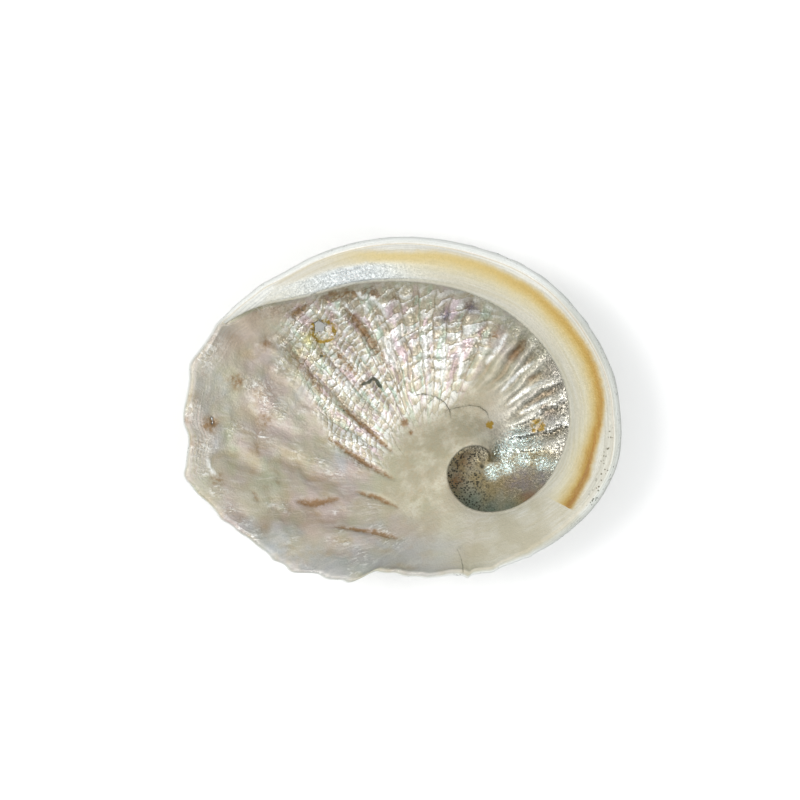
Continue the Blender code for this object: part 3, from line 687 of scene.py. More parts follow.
# Everything that the relief and the colours need to know about a vertex, as one number each.
def describeVertices(places, known):
    along, rimWay = known["along"], known["rimWay"]
    onBack, onShelf, above = known["onBack"], known["onShelf"], known["aboveEdge"]
    inside = 1 - onBack
    offShelf = inside * (1 - onShelf)
    onFloor = offShelf * (1 - known["inHollow"])
    x, y = seenFromEye(places)
    toRight, up = places[:, 0] - shellShape["apex"][0], places[:, 1] - shellShape["apex"][1]
    r = np.hypot(toRight, up)
    angle = np.degrees(np.arctan2(up, toRight)) % 360.0
    direction = (angle + 70.0) % 360.0 - 70.0
    offset = through(folds["offset"], direction)
    lean = np.degrees(np.arcsin(np.clip(offset / np.maximum(r, offset), 0, 1)))
    line = (direction - lean + 60.0) % 360.0 - 60.0
    edgeWay = r - through(shellShape["innerEdge"], along)
    crownX, crownY = shellShape["domeCentre"]
    crownWay = np.hypot(places[:, 0] - crownX, places[:, 1] - crownY)

    pit = (1 - above) * inside * smoothStep(*regions["pitWays"], r)
    pit = pit * smoothStep(*regions["pitBelowY"], y)
    silver = window(line, *regions["silverLines"]) * (1 - above) * inside
    besideEdge = above * smoothStep(*regions["calmWays"], r)
    calm = np.maximum(besideEdge, smoothStep(*regions["spireWays"], r) * (1 - pit)) * offShelf
    rimBand = window(angle, *regions["rimBandAngles"]) * smoothStep(*regions["rimBandWays"], rimWay) * onFloor
    lump = window(line, *regions["lumpLines"]) * smoothStep(*regions["lumpWays"], r)
    lump = lump * smoothStep(0.2, 5.0, -rimWay) * onFloor
    stripMiddle, stripLength = regions["strip"]
    strip = hump(along - stripMiddle, stripLength) * window(edgeWay, *regions["stripWays"]) * onShelf
    onWall = window(direction, *regions["shelfAngles"]) * smoothStep(-1.6, -0.6, rimWay)
    onWall = np.maximum(onWall, onBack * smoothStep(0.0, 0.8, rimWay))

    start = through(regions["foldStart"], line)
    growth = through(regions["foldGrowth"], line)
    inFan = window(line, *regions["fanLines"])
    flatX, flatY, flatRadius = regions["flatRound"]
    insideFolds = inFan * smoothStep(start, start + growth, r) * onFloor * (1 - 0.7 * pit)
    insideFolds = insideFolds * smoothStep(0.3, through(regions["foldsEndAtRim"], line), -rimWay)
    insideFolds = insideFolds * (1 - 0.85 * hump(np.hypot(x - flatX, y - flatY), flatRadius))
    insideFolds = insideFolds * through(regions["foldsNearPit"], line)
    backFolds = inFan * smoothStep(*regions["backFolds"], r) * smoothStep(*regions["crownWays"], crownWay)
    backFolds = backFolds * smoothStep(*regions["backFoldsFromRim"], rimWay) * onBack
    lastPlate = through(regions["lastPlate"], r)
    plates = smoothStep(*regions["plateLines"], line) * smoothStep(lastPlate + 2, lastPlate - 8, line)
    plates = plates * smoothStep(start - 4, start + 5, r) * onFloor
    plates = plates * smoothStep(*regions["platesFromX"], x) * smoothStep(1.0, 6.0, -rimWay)

    valley = lineShares("brownLines", x, y) * onFloor
    crackSide, crackNear, crackStep = crackFacts(x, y)
    return {
        "along": along, "axisWay": r, "edgeWay": edgeWay, "rimWay": rimWay,
        "growth": 60 * r / outline(angle),
        "foldPhase": through(folds["count"], line), "plateRow": through(folds["plateRows"], line),
        "onShelf": onShelf, "onBack": onBack, "onWall": onWall, "calm": calm, "rimBand": rimBand,
        "foldShare": insideFolds + backFolds, "brickShare": plates, "pitShare": pit,
        "silverShare": silver, "lumpShare": lump, "sparkleShare": strip,
        "gleam": lineShares("whiteStrokes", x, y) * onFloor,
        "swell": lineShares("swells", x, y) * onFloor,
        "crinkle": spotShares("shiningCrinklePatches", x, y) * onFloor,
        "valley": valley,
        "brown": np.maximum(valley, spotShares("brownSpots", x, y) * inside),
        "yellow": ringShares("yellowRims", x, y) * offShelf,
        "violet": spotShares("violetSpots", x, y) * offShelf,
        "paleYellow": spotShares("paleSpots", x, y) * onFloor,
        "silverPatch": spotShares("silverPatches", x, y) * inside * (1 - above),
        "teal": spotShares("pitShadeSpots", x, y) * pit,
        "dark": spotShares("darkSpots", x, y) * offShelf,
        "rosy": spotShares("rosySpots", x, y) * onFloor,
        "crackSide": crackSide, "crackNear": crackNear * inside, "crackStep": crackStep * inside,
        "stripe": np.where(onShelf > 0.02, r - through(marks["stripe"], along), -30.0),
    }


# Opens a breathing hole through both sides of the wall, with a ragged rim, and joins them by a short tube.
def openHole(bm, angle, r, radius, seed):
    centreX, centreY = place(angle, r)
    centre = Vector((centreX * mm, centreY * mm))
    rng = np.random.default_rng(seed)
    ragged = breathingHoles["raggedness"]
    waves = [(k, rng.uniform(0, 2 * math.pi), ragged * rng.uniform(0.3, 0.6)) for k in (2, 3, 5)]

    def radiusTowards(turn):
        slit = -breathingHoles["slitShare"] * math.cos(2 * turn) if seed else 0.0
        return radius * mm * (1 + slit + sum(size * math.cos(k * turn + start) for k, start, size in waves))

    def isInside(co):
        away = co.xy - centre
        return away.length < radiusTowards(math.atan2(away.y, away.x))

    gone = [f for f in bm.faces if isInside(f.calc_center_median())]
    bmesh.ops.delete(bm, geom=gone, context="FACES")
    rims = [e for e in bm.edges if e.is_boundary]
    for vert in {v for e in rims for v in e.verts}:
        away = vert.co.xy - centre
        turn = math.atan2(away.y, away.x)
        vert.co.x = centre.x + radiusTowards(turn) * math.cos(turn)
        vert.co.y = centre.y + radiusTowards(turn) * math.sin(turn)
    bridged = bmesh.ops.bridge_loops(bm, edges=rims)
    across = {e for f in bridged["faces"] for e in f.edges} - set(rims)
    bmesh.ops.subdivide_edges(bm, edges=list(across), cuts=4, use_grid_fill=True)


# Node trees are wired with this: each method adds a node and gives back its output.
class Wiring:
    def __init__(self, tree, forShader):
        self.tree = tree
        self.forShader = forShader

    def node(self, kind, inputs=(), **settings):
        node = self.tree.nodes.new(kind)
        for name, value in settings.items():
            setattr(node, name, value)
        for name, value in dict(inputs).items():
            socket = node.inputs[name]
            if isinstance(value, bpy.types.NodeSocket):
                self.tree.links.new(value, socket)
            else:
                socket.default_value = value
        return node

    def math(self, operation, *values):
        return self.node("ShaderNodeMath", dict(enumerate(values)), operation=operation).outputs[0]

    def inTurn(self, operation, values):  # on the first two, then on the result and the next one, and so on
        total = values[0]
        for value in values[1:]:
            total = self.math(operation, total, value)
        return total

    def add(self, *values):
        return self.inTurn("ADD", values)

    def times(self, *values):
        return self.inTurn("MULTIPLY", values)

    def most(self, *values):
        return self.inTurn("MAXIMUM", values)

    def least(self, *values):
        return self.inTurn("MINIMUM", values)

    def less(self, value, taken):
        return self.math("SUBTRACT", value, taken)

    def rest(self, value):
        return self.less(1.0, value)

    def ramp(self, value, low, high, fromValue=0.0, toValue=1.0):
        inputs = {0: value, 1: low, 2: high, 3: fromValue, 4: toValue}
        return self.node("ShaderNodeMapRange", inputs, interpolation_type="SMOOTHSTEP").outputs[0]

    def window(self, value, low, lowEnd, highStart, high):
        return self.times(self.ramp(value, low, lowEnd), self.ramp(value, high, highStart))

    def vector(self, operation, *values, scale=None):
        inputs = dict(enumerate(values))
        if scale is not None:
            inputs["Scale"] = scale
        return self.node("ShaderNodeVectorMath", inputs, operation=operation).outputs[0]

    def shifted(self, vector, by):
        return self.vector("ADD", vector, by)

    def combine(self, x, y, z=0.0):
        return self.node("ShaderNodeCombineXYZ", {0: x, 1: y, 2: z}).outputs[0]

    def separate(self, vector):
        return self.node("ShaderNodeSeparateXYZ", {0: vector}).outputs

    def noise(self, vector, scale, detail=3.0, roughness=0.55, distortion=0.0):
        inputs = {"Vector": vector, "Scale": scale, "Detail": detail, "Roughness": roughness,
                  "Distortion": distortion}
        return self.node("ShaderNodeTexNoise", inputs).outputs[0]

    def cells(self, vector, scale):
        return self.node("ShaderNodeTexVoronoi", {"Vector": vector, "Scale": scale}).outputs

    def random(self, x, y):  # three numbers of its own for each pair of whole numbers
        return self.node("ShaderNodeTexWhiteNoise", {"Vector": self.combine(x, y)}).outputs["Color"]

    def fact(self, name):  # one of the vertices' numbers
        if self.forShader:
            return self.node("ShaderNodeAttribute", attribute_name=name).outputs["Fac"]
        node = self.node("GeometryNodeInputNamedAttribute", {"Name": name}, data_type="FLOAT")
        return node.outputs["Attribute"]

    def mix(self, share, a, b):
        return self.node("ShaderNodeMix", {0: share, 6: a, 7: b}, data_type="RGBA").outputs[2]

    def blend(self, share, a, b):  # of two numbers
        return self.add(self.times(a, self.rest(share)), self.times(b, share))

    # Noise that is drawn out along the folds: row counts across them, a third number sets it apart.
    def alongFolds(self, row, rowScale, wayScale, apart=0.0, detail=3.0, roughness=0.55, distortion=0.0):
        place = self.combine(self.times(row, rowScale), self.times(self.fact("axisWay"), wayScale), apart)
        return self.noise(place, 1.0, detail, roughness, distortion)

    def count(self, name):  # the folds or the rows of plates, wandering a little from straight lines
        wander = self.alongFolds(self.fact("foldPhase"), 0.35, 0.09, detail=2.0)
        return self.add(self.fact(name), self.times(self.less(wander, 0.5), 1.3))

    def roundTheRim(self, across, spread):  # a place whose noise makes streaks that run round the rim
        turn = self.math("RADIANS", self.fact("along"))
        ways = [self.times(self.math(kind, turn), spread) for kind in ("COSINE", "SINE")]
        return self.combine(across, *ways)

    # The broken layers on the folds: rows of plates, one behind the other. Gives (height, random colour,
    # way along the plate, way to its side, way to its end), with the ways from 0 to 1.
    def plates(self, length):
        row = self.add(self.count("plateRow"), 0.5)
        column, across = self.math("FLOOR", row), self.math("FRACT", row)
        own = self.separate(self.random(column, 3.0))
        bend = self.alongFolds(row, 0.7, 0.22)
        length = self.times(length, self.ramp(column, 9.0, 15.0, 1.4, 0.72))
        plain = self.math("DIVIDE", self.fact("axisWay"), length)
        stretched = self.times(plain, self.add(0.8, self.times(own[0], 0.4)))
        way = self.add(stretched, self.times(own[1], 0.7), self.times(bend, 2.4))
        number, along = self.math("FLOOR", way), self.math("FRACT", way)
        random = self.random(column, number)
        red, green, blue = self.separate(random)
        toSide = self.least(across, self.rest(across))
        toEnd = self.least(along, self.rest(along))
        slope = self.times(self.less(along, 0.5), self.add(0.5, red))
        lean = self.times(self.less(green, 0.5), self.less(across, 0.5))
        height = self.add(slope, lean, self.times(blue, 0.35))
        return height, random, along, toSide, toEnd


# How far the relief raises the surface, in mm. "seed" gives another shell of the same kind.
reliefSizes = {
    "foldDepth": 0.5, "layerDepth": 0.22, "layerLength": 2.4, "lumpDepth": 0.36, "grainDepth": 0.05,
    "valleyDepth": 0.5, "strokeHeight": 0.3, "streakDepth": 0.1, "backRoughness": 0.35, "seed": 7.0,
}


def foldRelief(w, given):
    phase = w.count("foldPhase")
    turn = w.math("FRACT", phase)
    soft = w.math("COSINE", w.times(phase, 2 * math.pi))
    rounded = w.times(w.less(w.math("ABSOLUTE", w.math("COSINE", w.times(phase, math.pi))), 0.64), 2.0)
    sharp = w.add(w.ramp(turn, 0.0, 0.72, 1.3, -0.9), w.ramp(turn, 0.76, 1.0, 0.0, 2.2))
    wave = w.blend(w.fact("brickShare"), soft, rounded)
    wave = w.blend(w.fact("silverShare"), wave, sharp)
    strength = w.ramp(w.alongFolds(phase, 0.9, 0.03, detail=2.0), 0.3, 0.7, 0.45, 1.3)
    inSilver = w.add(1.0, w.times(w.fact("silverShare"), 0.35))
    return w.times(wave, strength, w.fact("foldShare"), given["foldDepth"], inSilver)


def insideRelief(w, given):
    layers = w.times(w.plates(given["layerLength"])[0], w.fact("brickShare"), given["layerDepth"])
    lump = w.less(w.alongFolds(w.count("foldPhase"), 0.62, 0.085, given["seed"]), 0.5)
    lumps = w.times(lump, w.fact("lumpShare"), given["lumpDepth"], 2.0)
    valleys = w.less(w.fact("crackStep"), w.times(w.fact("valley"), given["valleyDepth"]))
    return w.add(layers, lumps, valleys, w.times(w.fact("gleam"), given["strokeHeight"]), w.fact("swell"))


# The pitted back, which is smoother towards the rim.
def backRelief(w, given, spot, awayFromRim):
    place = w.combine(w.times(w.fact("growth"), 0.9), w.times(w.fact("foldPhase"), 0.25), 3.0)
    bands = w.noise(place, 1.0, 4.0)
    worn = w.noise(spot, 0.45, 4.0, 0.6)
    wandering = w.shifted(spot, w.vector("SCALE", w.combine(worn, worn, worn), scale=2.0))
    pitted = w.ramp(w.cells(wandering, 0.5)["Distance"], 0.32, 0.1, 0.0, -0.9)
    back = w.add(w.less(bands, 0.5), w.less(worn, 0.5), w.times(pitted, 0.5))
    return w.times(back, w.fact("onBack"), awayFromRim, given["backRoughness"])


# The relief follows the folds' own lines, so it is a rule of position along and across them.
def reliefTree():
    tree = bpy.data.node_groups.new("shellRelief", "GeometryNodeTree")
    tree.interface.new_socket("Geometry", in_out="INPUT", socket_type="NodeSocketGeometry")
    tree.interface.new_socket("Geometry", in_out="OUTPUT", socket_type="NodeSocketGeometry")
    for name in reliefSizes:
        tree.interface.new_socket(name, in_out="INPUT", socket_type="NodeSocketFloat")
    tree.interface.new_socket("material", in_out="INPUT", socket_type="NodeSocketMaterial")
    w = Wiring(tree, forShader=False)
    given = w.node("NodeGroupInput").outputs
    shift = w.combine(given["seed"], w.times(given["seed"], 1.7), w.times(given["seed"], 0.6))
    position = w.node("GeometryNodeInputPosition").outputs[0]
    spot = w.shifted(w.vector("SCALE", position, scale=1000.0), shift)

    onBack, rimWay = w.fact("onBack"), w.fact("rimWay")
    inside = w.rest(onBack)
    awayFromRim = w.ramp(rimWay, 1.0, 9.0)
    grain = w.times(w.less(w.noise(spot, 1.1, 3.0), 0.5), 2.0, given["grainDepth"])
    streak = w.less(w.noise(w.roundTheRim(w.times(rimWay, 1.6), 2.9), 1.0, 3.0), 0.5)
    streakShare = w.add(w.times(w.fact("onShelf"), 0.2), w.times(onBack, awayFromRim, 1.6))
    streaks = w.times(streak, given["streakDepth"], 2.0, streakShare)
    relief = w.add(
        foldRelief(w, given), w.times(insideRelief(w, given), inside), grain, streaks,
        backRelief(w, given, spot, awayFromRim),
    )
    offTheGround = w.ramp(w.separate(position)[2], 0.0, 1.2 * mm)  # the worn crown stays flat
    relief = w.times(relief, w.most(offTheGround, inside))

    normal = w.node("GeometryNodeInputNormal").outputs[0]
    offset = w.vector("SCALE", normal, scale=w.times(relief, mm))
    moved = w.node("GeometryNodeSetPosition", {"Geometry": given["Geometry"], "Offset": offset}).outputs[0]
    stored = w.node(
        "GeometryNodeStoreNamedAttribute", {"Geometry": moved, "Name": "relief", "Value": relief},
        data_type="FLOAT", domain="POINT",
    ).outputs[0]
    smooth = w.node("GeometryNodeSetShadeSmooth", {"Geometry": stored}).outputs[0]
    real = w.node("GeometryNodeRealizeInstances", {"Geometry": smooth}).outputs[0]
    dressed = w.node("GeometryNodeSetMaterial", {"Geometry": real, "Material": given["material"]}).outputs[0]
    w.node("NodeGroupOutput", {"Geometry": dressed})
    return tree


# Gives an object a node tree, sets its inputs, and leaves a plain mesh behind.
def bake(piece, tree, values, keep):
    relief = piece.modifiers.new("relief", "NODES")
    relief.node_group = tree
    for name, value in values.items():
        relief[tree.interface.items_tree[name].identifier] = value
    thin = piece.modifiers.new("thin out", "DECIMATE")
    thin.ratio = keep
    bpy.context.view_layer.update()
    made = bpy.data.meshes.new_from_object(piece.evaluated_get(bpy.context.evaluated_depsgraph_get()))
    piece.modifiers.clear()
    piece.data = made


# Colours are as a paint program shows them, from 0 to 255.
nacreColours = {
    # satin nacre
    "cream": (180, 172, 152), "pinkGrey": (184, 167, 162), "greenGrey": (168, 173, 147),
    "blueGrey": (176, 181, 188), "tan": (172, 152, 122), "lilac": (184, 177, 170), "pale": (222, 216, 210),
    "calm": (165, 159, 136), "calmPale": (198, 193, 174), "white": (253, 253, 250),
    # silvery ribs and pit; the ribs' silver and shaded silver are painted light and shade
    "silver": (226, 225, 216), "shadedSilver": (122, 114, 94), "pitGrey": (140, 132, 112),
    "pitBrown": (134, 118, 84), "teal": (96, 108, 98), "patch": (208, 226, 220),
    # broken plates
    "plate": (200, 190, 168), "joint": (140, 124, 98), "pink": (236, 204, 220), "mint": (200, 230, 212),
    # stains and cracks; the brown also paints shade in the fold valleys, the dark also paints shade in holes
    # and along broken layers
    "brown": (132, 94, 58), "yellow": (158, 124, 40), "paleYellow": (214, 204, 132),
    "violet": (104, 96, 120), "rosy": (212, 190, 174), "dark": (32, 26, 20),
    # shelf and stripe; the strip's near-white is a painted sheen
    "shelf": (190, 182, 162), "shelfWhite": (206, 203, 195), "outerGrey": (198, 198, 196),
    "outerWhite": (224, 223, 217), "outerShade": (178, 174, 162), "strip": (244, 250, 253),
    "stripeGlow": (206, 194, 152), "stripeLeft": (206, 180, 108), "stripeRight": (180, 144, 50),
    "stripeGold": (158, 104, 8), "stripeEnd": (140, 86, 0),
    # chalky outside
    "chalk": (238, 235, 228), "chalkPink": (222, 208, 198), "chalkGreen": (210, 210, 194),
    "grit": (70, 58, 46),
}
nacreLooks = {
    "satinRoughness": 0.34, "silverRoughness": 0.22, "shelfRoughness": 0.42, "chalkRoughness": 0.65,
    "leastRoughness": 0.16,
    "sparkle": 0.5,  # how far the flakes of the glitter tilt
    "flakeSize": 0.4,  # in mm
    "refraction": 1.56, "coat": 0.1, "coatRoughness": 0.15,
    "filmThickness": 420.0, "filmRefraction": 1.7,
}


# The nacre's wiring, with what its layers share.
class NacreWiring(Wiring):
    def __init__(self, tree):
        super().__init__(tree, forShader=True)
        coordinates = self.node("ShaderNodeTexCoord").outputs["Object"]
        self.spot = self.vector("SCALE", coordinates, scale=1000.0)
        self.across = self.separate(self.spot)[0]
        self.onBack, self.onShelf, self.calm = self.fact("onBack"), self.fact("onShelf"), self.fact("calm")
        self.brick, self.silver = self.fact("brickShare"), self.fact("silverShare")
        self.pit, self.strip = self.fact("pitShare"), self.fact("sparkleShare")
        self.along, self.rimWay = self.fact("along"), self.fact("rimWay")
        self.relief, self.rimBand = self.fact("relief"), self.fact("rimBand")
        self.row = self.count("plateRow")
        self.streaks = self.noise(self.roundTheRim(self.times(self.rimWay, 2.2), 2.3), 1.0, 4.0)
        self.wander = self.less(self.noise(self.spot, 0.35, 4.0), 0.5)
        self.addSilk()
        self.addJoints()
        # pale speckled patches of painted glitter in and beside the pit
        speckled = self.noise(self.shifted(self.spot, (7.0, 0.0, 0.0)), 1.9, 3.0, 0.7)
        patch = self.times(self.fact("silverPatch"), self.ramp(speckled, 0.36, 0.62, 0.15, 1.6))
        self.patch = self.ramp(patch, 0.1, 0.85)

    # silky streaks that run with the folds, and crinkled patches with painted white highlights
    def addSilk(self):
        self.silk = self.alongFolds(self.row, 2.4, 0.16, 5.0, 4.0, 0.65)
        farEnough = self.ramp(self.fact("axisWay"), 22, 38)
        self.silkShare = self.times(self.rest(self.calm), self.rest(self.pit), farEnough)
        self.crinkle = self.alongFolds(self.row, 4.5, 0.5, 2.0, 3.0, 0.6, 0.5)
        onSatin = self.times(self.rest(self.onBack), self.rest(self.onShelf), self.rest(self.calm),
                             self.rest(self.silver))
        scattered = self.times(self.cloud((0, 25, 0), 0.11, 0.5, 0.66), onSatin, 0.6)
        self.crinkled = self.times(self.most(scattered, self.fact("crinkle")), self.rest(self.pit))

    # the plates' own facts, and the joints between them
    def addJoints(self):
        self.plateHeight, random, self.plateWay, toSide, toEnd = self.plates(reliefSizes["layerLength"])
        self.plateRed, green, self.plateBlue = self.separate(random)
        apart = self.times(self.plateBlue, 0.5)
        self.plateStreaks = self.alongFolds(self.row, 3.2, 0.3, apart)
        atSide = self.times(self.ramp(toSide, 0.12, 0.0), self.ramp(self.row, 11.0, 15.0, 1.0, 0.45))
        atEnd = self.times(self.ramp(toEnd, 0.08, 0.0), self.ramp(green, 0.2, 0.5))
        broken = self.ramp(self.plateStreaks, 0.3, 0.6, 0.4, 1.0)
        self.joint = self.times(self.most(atSide, atEnd), broken, self.brick)

    def colour(self, name):
        return (*((part / 255) ** 2.2 for part in nacreColours[name]), 1.0)

    def over(self, tint, name, share):  # the colour of this name laid over the tint
        return self.mix(share, tint, self.colour(name))

    def cloud(self, shift, scale, low, high, detail=3.0):
        return self.ramp(self.noise(self.shifted(self.spot, shift), scale, detail), low, high)


# Satin nacre, clouded with pink, green, blue and tan.
def satinTint(w):
    tint = w.over(w.colour("cream"), "pinkGrey", w.cloud((0, 0, 0), 0.07, 0.4, 0.62))
    tint = w.over(tint, "greenGrey", w.times(w.cloud((40, 0, 0), 0.085, 0.45, 0.75), 0.8))
    tint = w.over(tint, "blueGrey", w.times(w.cloud((0, 70, 0), 0.1, 0.5, 0.8), 0.8))
    tint = w.over(tint, "tan", w.times(w.cloud((0, 0, 30), 0.13, 0.48, 0.72), 0.6))
    calmTint = w.over(w.colour("calm"), "calmPale", w.cloud((0, 0, 80), 0.22, 0.42, 0.66, 5.0))
    calmTint = w.over(calmTint, "tan", w.times(w.cloud((60, 0, 0), 0.3, 0.55, 0.7, 4.0), 0.35))
    calmTint = w.over(calmTint, "tan", w.ramp(w.noise(w.spot, 1.1, 4.0, 0.7), 0.42, 0.68, 0.0, 0.5))
    tint = w.mix(w.times(w.calm, 0.85), tint, calmTint)
    byLowerRim = w.times(w.window(w.along, 190, 206, 240, 262), w.ramp(w.rimWay, -17, -7), w.rest(w.onBack))
    tint = w.over(tint, "blueGrey", w.times(byLowerRim, w.cloud((0, 5, 5), 0.12, 0.36, 0.56), 0.6))
    tint = w.over(tint, "lilac", w.times(w.rimBand, w.ramp(w.streaks, 0.35, 0.6)))
    tint = w.over(tint, "pale", w.times(w.ramp(w.silk, 0.45, 0.75, 0.0, 0.45), w.silkShare))
    # the crinkled patches' white is a painted highlight
    return w.over(tint, "white", w.times(w.crinkled, w.ramp(w.crinkle, 0.5, 0.62), 0.85))


def silverTint(w, tint):
    # the ribs get a painted highlight on their crests and painted shade in their valleys, by the relief
    litAndShadedRibs = w.over(w.colour("shadedSilver"), "silver", w.ramp(w.relief, -0.45, 0.35))
    tint = w.mix(w.times(w.silver, 0.9), tint, litAndShadedRibs)
    deep = w.over(w.colour("pitBrown"), "pitGrey", w.cloud((9, 0, 0), 0.16, 0.4, 0.6))
    # the teal in the pit is painted shade
    tint = w.mix(w.pit, tint, w.over(deep, "teal", w.fact("teal")))
    # painted glitter in the patches
    return w.over(tint, "patch", w.patch)


# Rows of broken plates, with streaks of pink and green along them, a painted highlight at one end of each
# plate, and brown painted shade in the valleys.
def plateTint(w, tint):
    # a painted highlight, white at one end of each plate
    plateGlint = w.add(w.times(w.plateWay, 0.8), w.times(w.plateRed, 0.5), w.times(w.plateStreaks, 0.7))
    plate = w.over(w.colour("plate"), "white", w.ramp(plateGlint, 0.8, 1.2))
    shimmer = w.alongFolds(w.row, 1.3, 0.12, w.times(w.plateBlue, 0.8), 2.0)
    bands = w.alongFolds(w.row, 0.8, 0.06, 8.0, 2.0)
    plate = w.over(plate, "plate", w.ramp(bands, 0.5, 0.36, 0.0, 0.6))
    plate = w.over(plate, "pink", w.times(w.ramp(shimmer, 0.52, 0.68), 0.6))
    plate = w.over(plate, "mint", w.times(w.ramp(shimmer, 0.46, 0.32), 0.6))
    tint = w.mix(w.times(w.brick, 0.9), tint, plate)
    tint = w.over(tint, "joint", w.times(w.joint, 0.65))
    # brown painted shade in the fold valleys, by the relief
    valleyShadeStrength = w.add(0.3, w.times(w.silver, 0.3))
    return w.over(tint, "brown", w.times(w.ramp(w.relief, -0.15, -0.55), w.fact("foldShare"), valleyShadeStrength))


def stainsAndGleamTint(w, tint):
    fray = w.ramp(w.noise(w.spot, 0.7, 5.0, 0.7), 0.36, 0.64, 0.5, 1.35)
    crumbs = w.ramp(w.noise(w.spot, 1.1, 4.0), 0.36, 0.56, 0.25, 1.0)
    crumbled = w.ramp(w.times(w.fact("yellow"), fray, crumbs), 0.15, 0.8)
    solid = w.ramp(w.fact("yellow"), 1.3, 2.0)
    tint = w.over(tint, "rosy", w.fact("rosy"))
    tint = w.over(tint, "paleYellow", w.times(w.fact("paleYellow"), fray, 0.7))
    tint = w.over(tint, "brown", w.ramp(w.times(w.fact("brown"), fray), 0.0, 0.85, 0.0, 0.9))
    tint = w.over(tint, "violet", w.times(w.fact("violet"), fray, 0.8))
    tint = w.over(tint, "yellow", w.most(crumbled, solid))
    # the white strokes are painted highlights
    gleam = w.times(w.fact("gleam"), w.ramp(w.noise(w.spot, 0.8, 3.0), 0.3, 0.55, 0.3, 1.6))
    return w.over(tint, "white", w.least(1.0, gleam))


# The shelf, with its stripe and the silvery strip beside its edge, whose near-white colour is a painted
# sheen.
def shelfTint(w, tint):
    along, fromStripe = w.along, w.fact("stripe")
    pale = w.over(w.colour("shelf"), "shelfWhite", w.ramp(w.streaks, 0.2, 0.8))
    belowStripe = w.ramp(along, 345, 325)
    pale = w.over(pale, "cream", w.times(w.cloud((5, 5, 0), 0.09, 0.4, 0.65), belowStripe, 0.9))
    outer = w.over(w.colour("outerGrey"), "outerWhite", w.ramp(w.streaks, 0.42, 0.62))
    shaded = w.times(w.ramp(along, 440, 405), w.ramp(w.streaks, 0.3, 0.7, 0.75, 0.35))
    outer = w.over(outer, "outerShade", shaded)
    pale = w.mix(w.times(w.ramp(fromStripe, 1.5, 3.0), w.ramp(along, 330, 350), 0.85), pale, outer)

    stripe = w.add(fromStripe, w.times(w.wander, 1.2))
    inReach = w.times(w.ramp(along, 332.6, 333.4), w.ramp(along, 491, 474))
    rich = w.ramp(along, 480, 350)
    paler = w.ramp(along, 486, 420, 0.62, 1.0)
    grained = w.ramp(w.streaks, 0.3, 0.6, 0.5, 1.0)
    gold = w.over(w.colour("stripeGold"), "stripeEnd", w.ramp(along, 376, 346))
    ochre = w.over(w.colour("stripeLeft"), "stripeRight", rich)
    pale = w.over(pale, "stripeGlow", w.times(w.window(stripe, -7.0, -2.0, 0.4, 2.2), inReach, 0.55))
    pale = w.mix(w.times(w.window(stripe, -4.2, 0.3, 0.3, 2.6), inReach, paler), pale, ochre)
    pale = w.mix(w.times(w.window(stripe, -1.8, 0.4, 0.5, 2.0), inReach, rich, grained), pale, gold)
    # the strip's near-white is a painted sheen on the silvery nacre
    return w.mix(w.onShelf, tint, w.over(pale, "strip", w.strip))


def chalkyTint(w, tint):
    faded = w.ramp(w.rimWay, 2.0, 14.0)
    chalk = w.over(w.colour("chalk"), "chalkPink", w.times(w.cloud((0, 0, 0), 0.11, 0.45, 0.7), faded))
    chalk = w.over(chalk, "chalkGreen", w.times(w.cloud((0, 0, 50), 0.14, 0.52, 0.75), faded))
    chalk = w.over(chalk, "white", w.ramp(w.streaks, 0.4, 0.62, 0.1, 0.8))
    atRight = w.times(w.ramp(w.across, 34.0, 48.0), w.ramp(w.streaks, 0.3, 0.7, 0.65, 0.3))
    chalk = w.over(chalk, "outerShade", atRight)
    return w.mix(w.fact("onWall"), tint, chalk)


# Specks: grit on the outer wall, black ones in the pit.
def speckledTint(w, tint):
    fine = w.cells(w.shifted(w.spot, (0.5, 0.5, 0.5)), 1.7)
    isFine = w.times(w.ramp(fine["Distance"], 0.58, 0.4), w.ramp(w.separate(fine["Color"])[1], 0.3, 0.4))
    inPit = w.times(w.pit, w.ramp(w.fact("silverPatch"), 0.3, 0.05), w.cloud((3, 3, 0), 0.25, 0.34, 0.5))
    tint = w.over(tint, "dark", w.times(isFine, inPit, w.ramp(w.across, 29.0, 20.0)))
    apart = w.vector("SCALE", w.combine(w.wander, w.wander, w.wander), scale=1.5)
    grit = w.cells(w.shifted(w.spot, apart), 1.25)
    isGrit = w.times(w.ramp(grit["Distance"], 0.4, 0.26), w.ramp(w.separate(grit["Color"])[0], 0.5, 0.55))
    onOuterShelf = w.times(w.ramp(w.fact("stripe"), 2.6, 4.4), w.ramp(w.along, 334, 340))
    atRight = w.times(w.ramp(w.across, 40.0, 50.0), w.cloud((1, 0, 0), 0.3, 0.38, 0.5))
    gathered = w.most(atRight, w.times(w.onBack, w.cloud((0, 0, 0), 0.12, 0.5, 0.6)))
    return w.over(tint, "grit", w.times(isGrit, w.most(w.onBack, onOuterShelf), gathered, 0.9))


# How dark the cracks and dark spots are, with painted shadow along broken layers' edges and painted shade in
# tiny holes. A crack runs where the way to its two sides changes sign.
def cracksAndPaintedShade(w):
    near = w.fact("crackNear")
    width = w.times(w.noise(w.spot, 0.8, 3.0), 0.45, w.add(0.5, near))
    broken = w.ramp(w.noise(w.spot, 0.55, 3.0), 0.35, 0.6, 0.5, 1.6)
    inCrack = w.times(w.ramp(w.math("ABSOLUTE", w.fact("crackSide")), width, 0.0), near, broken)
    return w.most(w.least(inCrack, 1.0), w.ramp(w.fact("dark"), 0.3, 0.7))


